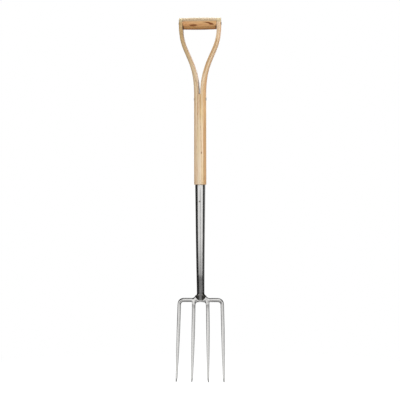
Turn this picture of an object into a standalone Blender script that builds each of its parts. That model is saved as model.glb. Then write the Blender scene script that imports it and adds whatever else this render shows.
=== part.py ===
"""Border fork: a forged four-tine head, a tapered steel socket and an ash shaft split into a Y handle.

Metres, +Z up. The fork stands upright on the points of its tines, at z = 0. The shaft's axis is
x = y = 0, and the front, which the tines sweep towards, is -Y. The socket is cranked back at its foot,
so the head's crown lies a little behind the shaft's axis and the points a little in front of it.
"""

import math

import bmesh
import bpy
from mathutils import Vector
from mathutils.geometry import interpolate_bezier

# Fits
FIT_GAP = 0.0003              # between faces that touch
CROWN_PLAY = 0.0005           # between the head's crown and neck and the socket
BORE_PLAY = 0.0003            # round a rivet's shank or a washer

# Tines and shoulders
TINE_LENGTH = 0.2184          # point to the shoulders' underside
ROD_DIAMETER = 0.0112         # shoulders, drawn down to the tines round their bends
TINE_WIDTH = 0.0093           # tines above their taper
TINE_DEPTH = 0.0100
INNER_TINE_X = 0.0191         # half the spacing of the two inner tines, at the crown
OUTER_TINE_X = 0.0591         # half the spacing of the two outer tines, at the crown
INNER_SPLAY = 0.0033          # how much further out an inner tine's point is
OUTER_SPLAY = 0.0063
SHOULDER_BEND_RADIUS = 0.0112  # on the rod's centre line
TINE_SWEEP = 0.0185           # how far the points stand in front of the crown
SWEEP_POWER = 1.6             # how late down the tine the sweep comes
TAPER_LENGTH = 0.140          # lower stretch, which narrows to the point
TINE_END_WIDTH = 0.0049
TINE_END_DEPTH = 0.0046
FLAT_BELOW_Z = 0.117          # forged flatter below this height
ROUND_ABOVE_Z = 0.169
FLAT_SQUARENESS = 3.2         # section exponent of the flattened stretch; 2 is an ellipse
POINT_LENGTH = 0.0130
POINT_WIDTH = 0.0024
POINT_DEPTH = 0.0012
POINT_GRIND = 0.25            # share of the point's narrowing that is ground off its inner side alone

# Crown: a flat cheek each side, between shoulder and inner tine, joined by the foot of the neck
CROWN_THICKNESS = 0.0120
CROWN_CHAMFER = 0.0015
CHEEK_INNER_X = 0.0050        # inner edge of a cheek, inside the neck's foot
CROWN_SLOPE_REACH = 0.0020    # where its slope down from the socket ends, outside the inner tine's centre
CROWN_BELOW_V = 0.0029        # its face between the socket's V and the arch
ARCH_HEIGHT = 0.0070          # between the inner tines, over the ends of the arch
ARCH_DROP = 0.0057            # arch's top below the shoulders' centre line
INNER_FILLET = 0.0030         # between a shoulder and an inner tine
TINE_FACET_LENGTH = 0.0130    # the crown's flat face running to a point down an inner tine
SHOULDER_FACET_LENGTH = 0.0080
WELD_INSET = 0.0006           # how deep the plate's edge lies in the rods

# Socket
SOCKET_LENGTH = 0.3191        # lowest point of its V to its mouth
SOCKET_MOUTH_DIAMETER = 0.0280
SOCKET_WAIST_DIAMETER = 0.0209
SOCKET_WALL = 0.0016
FLARE_WIDTH = 0.0310
FLARE_HEIGHT = 0.0060
FLARE_SQUARENESS = 3.0
WING_HEIGHT = 0.0012          # straight side edges below the flare
V_HEIGHT = 0.0134
V_BLUNTNESS = 1.8             # 1 is a straight-sided V, 2 a round one
PRESSED_HEIGHT = 0.0680       # lowest stretch, pressed thinner front to back towards the V's tip
PRESSED_POWER = 1.0           # above 1, it thins mostly near the tip
TONGUE_STEP = 0.0006          # how far the V's tongues stand proud of the cheeks at their tips
HEAD_SETBACK = 0.0085         # crown behind the shaft's axis
CRANK_HEIGHT = 0.1800         # stretch over which the socket bends back, down to the V's tip
NECK_LENGTH = 0.0500          # head's plug inside the socket, above the shoulders' centre line
NECK_FOOT_WIDTH = 0.0160
NECK_SQUARENESS = 3.0

# Shaft
SHAFT_LENGTH = 0.2486         # shoulder at the socket's mouth to the split
SHAFT_FOOT_DIAMETER = 0.0337
SHAFT_SPLIT_DIAMETER = 0.0334
SHAFT_FOOT_ROUNDING = 0.0015
TENON_LENGTH = 0.1300
TENON_CHAMFER = 0.0020

# Y arms
SLOT_WIDTH = 0.0044           # between the arms at the split
ARM_RISE = 0.1790             # split to where the arms stand parallel again
ARM_LOWER_PULL = 0.0975       # curve handles of the arm's centre line
ARM_UPPER_PULL = 0.0658
ARM_TOP_THICKNESS = 0.0108    # beside the grip
ARM_BOSS = 0.0008             # of that, on the outer side, which an arm has only beside the grip
ARM_BOSS_LENGTH = 0.0120      # over which it swells
ARM_THINNING = 0.4            # below 1, an arm thins soonest at its foot
ARM_TOP_DEPTH = 0.0315
ARM_SQUARENESS = 3.6
ARM_SECTION_CHANGE = 0.35     # share of the arm over which the sawn half round becomes a rounded bar

# Hand grip
GRIP_RISE = 0.1933            # split to the grip's axis
GRIP_LENGTH = 0.0938
GRIP_DIAMETER = 0.0337
GRIP_END_DIAMETER = 0.0318
STUB_DIAMETER = 0.0200
STUB_LENGTH = 0.0040

# Rivets and washers
RIVET_DIAMETER = 0.0060
RIVET_HEAD_DIAMETER = 0.0088
RIVET_HEAD_HEIGHT = 0.0008
WASHER_DIAMETER = 0.0110
WASHER_THICKNESS = 0.0012
SPLIT_RIVET_DROP = 0.0140     # below the split
SPLIT_WASHER_SINK = 0.0006    # its washers' faces below the shaft's widest line
SOCKET_RIVET_DIAMETER = 0.0050
SOCKET_RIVET_DROP = 0.0455    # below the socket's mouth
SOCKET_RIVET_DOME = 0.0002

# Fineness of the round shapes
CUT_OVERRUN = 0.0030          # how far a cutter reaches past the face it opens
TINE_STEPS = 14
BEND_STEPS = 6
V_STEPS = 5
TONGUE_STEPS = 3
ARM_STEPS = 24
ROD_SIDES = 14
SOCKET_SIDES = 32
HALF_SHAFT_POINTS = 13
GRIP_SIDES = 28
RIVET_SIDES = 16
WASHER_SIDES = 24

# Levels that follow from the sizes
ROD_RADIUS = ROD_DIAMETER / 2
SHOULDER_Z = TINE_LENGTH + ROD_RADIUS
ARCH_TOP_Z = SHOULDER_Z - ARCH_DROP
SOCKET_APEX_Z = ARCH_TOP_Z + CROWN_BELOW_V
SOCKET_TOP_Z = SOCKET_APEX_Z + SOCKET_LENGTH
WING_Z = SOCKET_APEX_Z + V_HEIGHT
FLARE_FOOT_Z = WING_Z + WING_HEIGHT
FLARE_TOP_Z = FLARE_FOOT_Z + FLARE_HEIGHT
CRANK_TOP_Z = SOCKET_APEX_Z + CRANK_HEIGHT
SHAFT_FOOT_Z = SOCKET_TOP_Z + FIT_GAP
SPLIT_Z = SHAFT_FOOT_Z + SHAFT_LENGTH
ARM_TOP_Z = SPLIT_Z + ARM_RISE
GRIP_Z = SPLIT_Z + GRIP_RISE
SPLIT_RIVET_Z = SPLIT_Z - SPLIT_RIVET_DROP
SOCKET_RIVET_Z = SOCKET_TOP_Z - SOCKET_RIVET_DROP

# Places across the handle
ARM_INNER_X = GRIP_LENGTH / 2 + FIT_GAP
ARM_OUTER_X = ARM_INNER_X + ARM_TOP_THICKNESS

ALONG_X = (0.0, math.radians(90), 0.0)
ALONG_MINUS_X = (0.0, math.radians(-90), 0.0)
ALONG_Y = (math.radians(90), 0.0, 0.0)


def lerp(low, high, share):
    """Value between low and high."""
    return low + (high - low) * share


def clamp(value):
    """Limit a share to 0 to 1."""
    return max(0.0, min(1.0, value))


def ease(share):
    """Share with a gentle start and end."""
    share = clamp(share)
    return share * share * (3 - 2 * share)


def oval_point(angle, half_width, half_depth, squareness):
    """Point of a superellipse; a squareness of 2 is an ellipse, and more is boxier."""
    c, s = math.cos(angle), math.sin(angle)
    power = 2 / squareness
    return (
        math.copysign(abs(c) ** power, c) * half_width,
        math.copysign(abs(s) ** power, s) * half_depth,
    )


def oval(half_width, half_depth, squareness, sides):
    """Points round a superellipse, starting on +X."""
    step = 2 * math.pi / sides
    return [oval_point(i * step, half_width, half_depth, squareness) for i in range(sides)]


def add_ring(bm, points):
    """Vertices of one ring."""
    return [bm.verts.new(point) for point in points]


def bridge(bm, ring, following):
    """Faces between two rings with equally many vertices."""
    for i, vert in enumerate(ring):
        j = (i + 1) % len(ring)
        bm.faces.new((vert, ring[j], following[j], following[i]))


def skin(rings, closed=False):
    """Mesh through a list of rings, capped at both ends or closed into a loop, as a tube's wall is."""
    bm = bmesh.new()
    loops = [add_ring(bm, ring) for ring in rings]
    for ring, following in zip(loops, loops[1:]):
        bridge(bm, ring, following)
    if closed:
        bridge(bm, loops[-1], loops[0])
    else:
        bm.faces.new(loops[0])
        bm.faces.new(loops[-1])
    return bm


def turned(profile, sides, closed=False, lead=0.0):
    """Mesh of a profile of (radius, height) points turned round local Z, its first edge lead steps on."""
    step = 2 * math.pi / sides
    angles = [(i + lead) * step for i in range(sides)]
    rings = [[(r * math.cos(a), r * math.sin(a), h) for a in angles] for r, h in profile]
    return skin(rings, closed)


def add_object(name, bm, material=None, location=(0, 0, 0), rotation=(0, 0, 0)):
    """Object of a finished mesh, its faces pointing out."""
    bmesh.ops.recalc_face_normals(bm, faces=bm.faces)
    mesh = bpy.data.meshes.new(name)
    bm.to_mesh(mesh)
    bm.free()
    mesh.shade_smooth()
    mesh.set_sharp_from_angle(angle=math.radians(35))
    obj = bpy.data.objects.new(name, mesh)
    obj.location = location
    obj.rotation_euler = rotation
    bpy.context.scene.collection.objects.link(obj)
    if material:
        mesh.materials.append(material)
    return obj


def combine(target, other, operation):
    """Cut other out of target, or join it on, and leave it as a hidden guide."""
    other.hide_render = True
    other.display_type = "WIRE"
    modifier = target.modifiers.new(other.name, "BOOLEAN")
    modifier.operation = operation
    modifier.solver = "EXACT"
    modifier.object = other


def make_material(name, colour, roughness, metallic):
    """Principled material of one colour."""
    material = bpy.data.materials.new(name)
    material.use_nodes = True
    shader = material.node_tree.nodes["Principled BSDF"]
    shader.inputs["Base Color"].default_value = (*colour, 1.0)
    shader.inputs["Roughness"].default_value = roughness
    shader.inputs["Metallic"].default_value = metallic
    return material


def head_y(z):
    """Depth of the head's centre surface: the tines sweep forward from the crown."""
    return HEAD_SETBACK - TINE_SWEEP * clamp(1 - z / SHOULDER_Z) ** SWEEP_POWER


def tine_section(z):
    """Width, depth and squareness of a tine at a height, thicker round the bend to its shoulder."""
    taper = clamp(1 - z / TAPER_LENGTH)
    point = clamp(1 - z / POINT_LENGTH) ** 1.5
    bend = ease(1 - (SHOULDER_Z - z) / SHOULDER_BEND_RADIUS)
    top_width = lerp(TINE_WIDTH, ROD_DIAMETER, bend)
    top_depth = lerp(TINE_DEPTH, ROD_DIAMETER, bend)
    width = lerp(lerp(top_width, TINE_END_WIDTH, taper), POINT_WIDTH, point)
    depth = lerp(lerp(top_depth, TINE_END_DEPTH, taper), POINT_DEPTH, point)
    flatness = ease((ROUND_ABOVE_Z - z) / (ROUND_ABOVE_Z - FLAT_BELOW_Z))
    return width, depth, lerp(2.0, FLAT_SQUARENESS, flatness)


def tine_levels(top_z):
    """Heights of a tine's sections, closer together at its point."""
    body = [lerp(top_z, POINT_LENGTH, i / TINE_STEPS) for i in range(TINE_STEPS + 1)]
    point = [POINT_LENGTH * share for share in (0.6, 0.3, 0.1, 0.0)]
    return body + point


def tine_line(root_x, splay, shoulder_x=None):
    """Centre line of a tine as (x, z) points, with its shoulder and bend when it has one."""
    line = []
    top_z = SHOULDER_Z
    if shoulder_x is not None:
        bend_x = root_x - SHOULDER_BEND_RADIUS
        top_z -= SHOULDER_BEND_RADIUS
        line += [(lerp(shoulder_x, bend_x, i / 3), SHOULDER_Z) for i in range(3)]
        for i in range(BEND_STEPS):
            angle = math.radians(90) * (1 - i / BEND_STEPS)
            line.append((
                bend_x + SHOULDER_BEND_RADIUS * math.cos(angle),
                top_z + SHOULDER_BEND_RADIUS * math.sin(angle),
            ))
    line += [(root_x, z) for z in tine_levels(top_z)]
    return [(x + splay * clamp(1 - z / SHOULDER_Z), z) for x, z in line]


def tine_mesh(side, root_x, splay, shoulder_x=None):
    """A tine, swept along its centre line; its point is ground from the inner side."""
    line = tine_line(root_x, splay, shoulder_x)
    rings = []
    for i, (x, z) in enumerate(line):
        before, after = line[max(i - 1, 0)], line[min(i + 1, len(line) - 1)]
        way = Vector((after[0] - before[0], after[1] - before[1])).normalized()
        width, depth, squareness = tine_section(z)
        ground = max(tine_section(POINT_LENGTH)[0] - width, 0.0) * POINT_GRIND if z < POINT_LENGTH else 0.0
        rings.append([
            (side * (x + ground - way.y * across), head_y(z) + deep, z + way.x * across)
            for across, deep in oval(width / 2, depth / 2, squareness, ROD_SIDES)
        ])
    return skin(rings)


def v_edge_z(x):
    """Height of the socket's lower edge, a blunt V."""
    return lerp(SOCKET_APEX_Z, WING_Z, clamp(abs(x) / (FLARE_WIDTH / 2)) ** V_BLUNTNESS)


def cheek_outline():
    """Front outline of the right cheek, from the arch round by the tine and the shoulder to the V."""
    inside = INNER_TINE_X - TINE_WIDTH / 2 + WELD_INSET
    outside = INNER_TINE_X + TINE_WIDTH / 2 - WELD_INSET
    arch_end = ARCH_TOP_Z - ARCH_HEIGHT
    underside = SHOULDER_Z - ROD_RADIUS
    points = []
    start = math.acos(CHEEK_INNER_X / inside)
    for i in range(6):
        angle = start * (1 - i / 5)
        points.append((inside * math.cos(angle), arch_end + ARCH_HEIGHT * math.sin(angle)))
    points.append((INNER_TINE_X, arch_end - TINE_FACET_LENGTH))
    for i in range(5):
        angle = math.radians(180 - 22.5 * i)
        points.append((
            outside + INNER_FILLET + INNER_FILLET * math.cos(angle),
            underside - INNER_FILLET + INNER_FILLET * math.sin(angle),
        ))
    points.append((outside + INNER_FILLET + SHOULDER_FACET_LENGTH, SHOULDER_Z))
    points.append((INNER_TINE_X + CROWN_SLOPE_REACH, SHOULDER_Z + ROD_RADIUS - WELD_INSET))
    wing = FLARE_WIDTH / 2 + FIT_GAP
    for i in range(V_STEPS + 1):
        x = lerp(wing, CHEEK_INNER_X, i / V_STEPS)
        points.append((x, v_edge_z(x) - CROWN_PLAY))
    return points


def cheek_mesh(side):
    """A cheek of the crown: its outline extruded front to back, with chamfered flat faces."""
    outline = [(side * x, z) for x, z in cheek_outline()]
    straight = CROWN_THICKNESS / 2 - CROWN_CHAMFER
    bm = bmesh.new()
    front = bm.faces.new(add_ring(bm, [(x, HEAD_SETBACK - straight, z) for x, z in outline]))
    back = bm.faces.new(add_ring(bm, [(x, HEAD_SETBACK + straight, z) for x, z in outline]))
    bridge(bm, list(front.verts), list(back.verts))
    bmesh.ops.recalc_face_normals(bm, faces=bm.faces)
    for face in (front, back):
        bmesh.ops.inset_region(bm, faces=[face], thickness=CROWN_CHAMFER, depth=CROWN_CHAMFER)
    return bm


def socket_y(z):
    """Depth of the socket's centre line, which bends back to meet the head."""
    return HEAD_SETBACK * clamp((CRANK_TOP_Z - z) / CRANK_HEIGHT) ** 2


def socket_section(z):
    """Half width, half depth and squareness of the socket's outside at a height."""
    rise = (z - FLARE_TOP_Z) / (SOCKET_TOP_Z - FLARE_TOP_Z)
    radius = lerp(SOCKET_WAIST_DIAMETER, SOCKET_MOUTH_DIAMETER, max(rise, 0.0)) / 2
    flare = clamp((FLARE_TOP_Z - z) / FLARE_HEIGHT)
    pressed = clamp(1 - (z - SOCKET_APEX_Z) / PRESSED_HEIGHT)
    foot_depth = CROWN_THICKNESS / 2 + TONGUE_STEP
    return (
        lerp(radius, FLARE_WIDTH / 2, flare ** 2),
        lerp(radius, foot_depth, pressed ** PRESSED_POWER),
        lerp(2.0, FLARE_SQUARENESS, flare ** 2),
    )


def neck_mesh():
    """The head's neck, flat where it leaves the crown and round where it plugs the socket."""
    top_z = SHOULDER_Z + NECK_LENGTH
    levels = [ARCH_TOP_Z, SOCKET_APEX_Z, WING_Z]
    levels += [lerp(FLARE_FOOT_Z, FLARE_TOP_Z, i / 4) for i in range(5)]
    levels += [lerp(FLARE_TOP_Z, top_z, i / 3) for i in range(1, 4)]
    rings = []
    for z in levels:
        outer_depth = socket_section(z)[1]
        half_depth = outer_depth - SOCKET_WALL - CROWN_PLAY
        flat = clamp((FLARE_TOP_Z - z) / FLARE_HEIGHT)
        half_width = lerp(half_depth, NECK_FOOT_WIDTH / 2, ease(flat))
        rings.append([
            (across, socket_y(z) + deep, z)
            for across, deep in oval(half_width, half_depth, lerp(2.0, NECK_SQUARENESS, flat), SOCKET_SIDES)
        ])
    return skin(rings)


def build_head(material):
    """Neck, cheeks and the four tines, joined into the one forging."""
    head = add_object("fork_head", neck_mesh(), material)
    shoulder_x = INNER_TINE_X + ROD_RADIUS / 2
    for label, side in (("left", -1), ("right", 1)):
        combine(head, add_object(f"cheek_shape_{label}", cheek_mesh(side)), "UNION")
        inner = tine_mesh(side, INNER_TINE_X, INNER_SPLAY)
        outer = tine_mesh(side, OUTER_TINE_X, OUTER_SPLAY, shoulder_x)
        combine(head, add_object(f"inner_tine_shape_{label}", inner), "UNION")
        combine(head, add_object(f"outer_tine_shape_{label}", outer), "UNION")
    return head


def socket_ring(z, inset, drop=0.0):
    """Ring of the socket's wall, let down from its level by a share of the way to the V's edge."""
    half_width, _, squareness = socket_section(z)
    ring = []
    for across, deep in oval(1.0, 1.0, squareness, SOCKET_SIDES):
        height = lerp(z, v_edge_z(across * half_width), drop)
        half_depth = socket_section(height)[1]
        ring.append((across * (half_width - inset), socket_y(height) + deep * (half_depth - inset), height))
    return ring


def build_socket(material):
    """Tapered tube whose wall closes into a loop: down the outside and up the bore."""
    levels = [SOCKET_TOP_Z]
    levels += [lerp(CRANK_TOP_Z, FLARE_TOP_Z, i / 8) for i in range(9)]
    levels += [lerp(FLARE_TOP_Z, FLARE_FOOT_Z, i / 5) for i in range(1, 6)]
    drops = [i / TONGUE_STEPS for i in range(1, TONGUE_STEPS + 1)]
    outside = [socket_ring(z, 0.0) for z in levels] + [socket_ring(FLARE_FOOT_Z, 0.0, drop) for drop in drops]
    bore = [socket_ring(z, SOCKET_WALL) for z in levels]
    bore += [socket_ring(FLARE_FOOT_Z, SOCKET_WALL, drop) for drop in drops]
    return add_object("socket", skin(outside + bore[::-1], closed=True), material)


def half_shaft_angles():
    """Angles of the points on one half of the shaft, from the slot's front edge to its back edge."""
    limit = math.acos(SLOT_WIDTH / SHAFT_SPLIT_DIAMETER)
    return [lerp(-limit, limit, i / (HALF_SHAFT_POINTS - 1)) for i in range(HALF_SHAFT_POINTS)]


def shaft_ring(radius, z):
    """Ring of the round shaft: its right half and then its left half."""
    right = [(radius * math.cos(a), radius * math.sin(a)) for a in half_shaft_angles()]
    left = [(-x, y) for x, y in reversed(right)]
    return [(x, y + socket_y(z), z) for x, y in right + left]


def round_shaft_rings():
    """Rings of the tenon, the rounded shoulder on the socket's mouth, and the shaft up to the split."""
    def tenon_radius(z):
        return socket_section(z)[0] - SOCKET_WALL - FIT_GAP

    tenon_foot_z = SHAFT_FOOT_Z - TENON_LENGTH
    foot_radius = SHAFT_FOOT_DIAMETER / 2
    rings = [
        shaft_ring(tenon_radius(tenon_foot_z) - TENON_CHAMFER, tenon_foot_z),
        shaft_ring(tenon_radius(tenon_foot_z + TENON_CHAMFER), tenon_foot_z + TENON_CHAMFER),
        shaft_ring(tenon_radius(SHAFT_FOOT_Z), SHAFT_FOOT_Z),
    ]
    for i in range(4):
        angle = math.radians(30 * i)
        rings.append(shaft_ring(
            foot_radius - SHAFT_FOOT_ROUNDING * (1 - math.sin(angle)),
            SHAFT_FOOT_Z + SHAFT_FOOT_ROUNDING * (1 - math.cos(angle)),
        ))
    for i in range(1, 4):
        rings.append(shaft_ring(
            lerp(foot_radius, SHAFT_SPLIT_DIAMETER / 2, i / 3), lerp(SHAFT_FOOT_Z, SPLIT_Z, i / 3)
        ))
    return rings


def arm_section(share, thickness, depth):
    """Section of an arm as (outward, back) points about its centre: flat inside, rounded outside."""
    radius = SHAFT_SPLIT_DIAMETER / 2
    flat_x = SLOT_WIDTH / 2
    angles = half_shaft_angles()
    change = ease(share / ARM_SECTION_CHANGE)
    points = []
    for angle in angles:
        half_round = (radius * math.cos(angle) - (radius + flat_x) / 2, radius * math.sin(angle))
        bar = oval_point(angle * math.radians(90) / angles[-1], thickness, depth / 2, ARM_SQUARENESS)
        bar = (bar[0] - thickness / 2, bar[1])
        points.append((lerp(half_round[0], bar[0], change), lerp(half_round[1], bar[1], change)))
    points.append((points[-1][0], 0.0))
    return points


def arm_rings():
    """Rings of the right arm above the split, up to its end, which is rounded about the grip's axis."""
    split_thickness = (SHAFT_SPLIT_DIAMETER - SLOT_WIDTH) / 2
    foot_x = (SHAFT_SPLIT_DIAMETER + SLOT_WIDTH) / 4
    bar_thickness = ARM_TOP_THICKNESS - ARM_BOSS
    top_x = ARM_INNER_X + bar_thickness / 2
    line = interpolate_bezier(
        Vector((foot_x, 0, SPLIT_Z)),
        Vector((foot_x, 0, SPLIT_Z + ARM_LOWER_PULL)),
        Vector((top_x, 0, ARM_TOP_Z - ARM_UPPER_PULL)),
        Vector((top_x, 0, ARM_TOP_Z)),
        ARM_STEPS + 1,
    )
    split_depth = 2 * math.sqrt(SHAFT_SPLIT_DIAMETER ** 2 - SLOT_WIDTH ** 2) / 2
    rings = []
    for i in range(1, len(line)):
        share = i / (len(line) - 1)
        way = (line[min(i + 1, len(line) - 1)] - line[i - 1]).normalized()
        boss = ARM_BOSS * ease(1 - (ARM_TOP_Z - line[i].z) / ARM_BOSS_LENGTH)
        thickness = lerp(split_thickness, bar_thickness, share ** ARM_THINNING) + boss
        section = [
            (out + boss / 2, deep)
            for out, deep in arm_section(share, thickness, lerp(split_depth, ARM_TOP_DEPTH, share))
        ]
        rings.append([
            (line[i].x + way.z * out, deep, line[i].z - way.x * out) for out, deep in section
        ])
    for degrees in (0, 20, 40, 58, 74, 87):
        turn = math.radians(degrees)
        section = arm_section(1.0, ARM_TOP_THICKNESS, ARM_TOP_DEPTH * math.cos(turn))
        z = GRIP_Z + ARM_TOP_DEPTH / 2 * math.sin(turn)
        rings.append([(top_x + ARM_BOSS / 2 + out, deep, z) for out, deep in section])
    return rings


def shaft_mesh():
    """Tenon, round shaft and the two arms, with a flat floor between the arms where the split ends."""
    bm = bmesh.new()
    rings = [add_ring(bm, ring) for ring in round_shaft_rings()]
    bm.faces.new(rings[0])
    for ring, following in zip(rings, rings[1:]):
        bridge(bm, ring, following)
    right_half = rings[-1][:HALF_SHAFT_POINTS]
    left_half = rings[-1][HALF_SHAFT_POINTS:][::-1]
    right_middle = bm.verts.new((SLOT_WIDTH / 2, 0, SPLIT_Z))
    left_middle = bm.verts.new((-SLOT_WIDTH / 2, 0, SPLIT_Z))
    bm.faces.new((right_half[-1], right_middle, left_middle, left_half[-1]))
    bm.faces.new((right_middle, right_half[0], left_half[0], left_middle))
    for side, start in ((1, right_half + [right_middle]), (-1, left_half + [left_middle])):
        ring = start
        for points in arm_rings():
            following = add_ring(bm, [(side * x, y, z) for x, y, z in points])
            bridge(bm, ring, following)
            ring = following
        bm.faces.new(ring)
    return bm


def arm_bore_cutter(name, side):
    """Stepped bore through an arm: the grip's mortise, the rivet's hole and the washer's seat."""
    stub = STUB_DIAMETER / 2 + FIT_GAP
    shank = RIVET_DIAMETER / 2 + BORE_PLAY
    washer = WASHER_DIAMETER / 2 + BORE_PLAY
    mortise_floor = ARM_INNER_X + STUB_LENGTH + FIT_GAP
    seat_floor = ARM_OUTER_X - WASHER_THICKNESS - FIT_GAP
    profile = [
        (stub, ARM_INNER_X - CUT_OVERRUN),
        (stub, mortise_floor),
        (shank, mortise_floor),
        (shank, seat_floor),
        (washer, seat_floor),
        (washer, ARM_OUTER_X + CUT_OVERRUN),
    ]
    turn = ALONG_X if side > 0 else ALONG_MINUS_X
    return add_object(name, turned(profile, WASHER_SIDES), location=(0, 0, GRIP_Z), rotation=turn)


def split_washer_x():
    """Outer face of the washers on the split rivet."""
    return SHAFT_SPLIT_DIAMETER / 2 - SPLIT_WASHER_SINK


def split_bore_cutter():
    """Bore across the shaft under the split, with a washer's seat at each end."""
    shank = RIVET_DIAMETER / 2 + BORE_PLAY
    washer = WASHER_DIAMETER / 2 + BORE_PLAY
    seat_floor = split_washer_x() - WASHER_THICKNESS - FIT_GAP
    end = SHAFT_FOOT_DIAMETER
    half = [(shank, seat_floor), (washer, seat_floor), (washer, end)]
    profile = [(r, -h) for r, h in reversed(half)] + half
    return add_object(
        "split_bore", turned(profile, WASHER_SIDES), location=(0, 0, SPLIT_RIVET_Z), rotation=ALONG_X
    )


def socket_bore_cutter(name):
    """Bore for the socket's rivet, front to back."""
    radius = SOCKET_RIVET_DIAMETER / 2 + BORE_PLAY
    end = SOCKET_MOUTH_DIAMETER
    return add_object(
        name, turned([(radius, -end), (radius, end)], RIVET_SIDES),
        location=(0, socket_y(SOCKET_RIVET_Z), SOCKET_RIVET_Z), rotation=ALONG_Y,
    )


def build_shaft(material):
    """The ash shaft with its bores."""
    shaft = add_object("shaft", shaft_mesh(), material)
    combine(shaft, arm_bore_cutter("arm_bore_left", -1), "DIFFERENCE")
    combine(shaft, arm_bore_cutter("arm_bore_right", 1), "DIFFERENCE")
    combine(shaft, split_bore_cutter(), "DIFFERENCE")
    combine(shaft, socket_bore_cutter("tenon_bore"), "DIFFERENCE")
    return shaft


def build_grip(material):
    """Turned barrel with a stub tenon at each end and a bore for its rivet."""
    half_length = GRIP_LENGTH / 2
    bore = RIVET_DIAMETER / 2 + BORE_PLAY
    profile = [(bore, -half_length - STUB_LENGTH), (STUB_DIAMETER / 2, -half_length - STUB_LENGTH),
               (STUB_DIAMETER / 2, -half_length)]
    for i in range(11):
        share = i / 5 - 1
        radius = lerp(GRIP_DIAMETER, GRIP_END_DIAMETER, share * share) / 2
        profile.append((radius, half_length * share))
    profile += [(STUB_DIAMETER / 2, half_length), (STUB_DIAMETER / 2, half_length + STUB_LENGTH),
                (bore, half_length + STUB_LENGTH)]
    barrel = turned(profile, GRIP_SIDES, closed=True, lead=0.5)   # a facet faces straight back
    return add_object("grip", barrel, material, (0, 0, GRIP_Z), ALONG_X)


def build_headed_rivet(name, washer_face_x, z, material):
    """Rivet across the handle, with a domed head on the washer at each end."""
    under_head = washer_face_x + FIT_GAP
    head = RIVET_HEAD_DIAMETER / 2
    half = [(RIVET_DIAMETER / 2, under_head), (head, under_head)]
    for share in (0.35, 0.7, 0.95):
        half.append((head * math.sqrt(1 - share * share), under_head + RIVET_HEAD_HEIGHT * share))
    profile = [(r, -h) for r, h in reversed(half)] + half
    return add_object(name, turned(profile, RIVET_SIDES), material, (0, 0, z), ALONG_X)


def build_washer(name, side, outer_face_x, z, material):
    """Flat washer with its outer face at outer_face_x."""
    bore = RIVET_DIAMETER / 2 + BORE_PLAY
    rim = WASHER_DIAMETER / 2
    profile = [(bore, 0), (rim, 0), (rim, WASHER_THICKNESS), (bore, WASHER_THICKNESS)]
    turn = ALONG_X if side > 0 else ALONG_MINUS_X
    location = (side * (outer_face_x - WASHER_THICKNESS), 0, z)
    return add_object(name, turned(profile, WASHER_SIDES, closed=True), material, location, turn)


def build_socket_rivet(material):
    """Headless rivet through the socket and the tenon, its slightly domed ends flush with the socket."""
    end = socket_section(SOCKET_RIVET_Z)[0]
    radius = SOCKET_RIVET_DIAMETER / 2
    half = [(radius, end - SOCKET_RIVET_DOME), (radius / 2, end)]
    profile = [(r, -h) for r, h in reversed(half)] + half
    return add_object(
        "socket_rivet", turned(profile, RIVET_SIDES), material,
        (0, socket_y(SOCKET_RIVET_Z), SOCKET_RIVET_Z), ALONG_Y,
    )


def clear_scene():
    """Remove the objects that the scene starts with."""
    for obj in list(bpy.data.objects):
        bpy.data.objects.remove(obj, do_unlink=True)


def main():
    """Build every piece of the fork and hang them all on one empty."""
    clear_scene()
    ash_wood = make_material("ash_wood", (0.78, 0.60, 0.40), 0.45, 0.0)
    ash_grip = make_material("ash_grip", (0.55, 0.30, 0.13), 0.40, 0.0)
    polished_steel = make_material("stainless_polished", (0.72, 0.72, 0.73), 0.15, 1.0)
    rivet_steel = make_material("rivet_steel", (0.60, 0.60, 0.60), 0.35, 1.0)

    pieces = [build_head(polished_steel)]
    socket = build_socket(polished_steel)
    combine(socket, socket_bore_cutter("socket_bore"), "DIFFERENCE")
    pieces += [socket, build_socket_rivet(rivet_steel)]
    pieces += [build_shaft(ash_wood), build_grip(ash_grip)]
    for place, face_x, z in (
        ("grip", ARM_OUTER_X, GRIP_Z),
        ("split", split_washer_x(), SPLIT_RIVET_Z),
    ):
        pieces.append(build_headed_rivet(f"{place}_rivet", face_x, z, rivet_steel))
        pieces.append(build_washer(f"{place}_washer_left", -1, face_x, z, rivet_steel))
        pieces.append(build_washer(f"{place}_washer_right", 1, face_x, z, rivet_steel))

    fork = bpy.data.objects.new("border_fork", None)
    bpy.context.scene.collection.objects.link(fork)
    for piece in pieces:
        piece.parent = fork


main()
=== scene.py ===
"""Border fork, dressed: a polished stainless head and socket, an ash shaft with Y arms and a turned grip.

Metres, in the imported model's frame: +Z up, the fork standing on its points at z = 0, its front -Y.
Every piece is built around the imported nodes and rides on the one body, root.
"""

import logging
import math
from dataclasses import dataclass
from enum import Enum

import bmesh
import bpy
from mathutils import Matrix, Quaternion, Vector
from mathutils.geometry import interpolate_bezier


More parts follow.
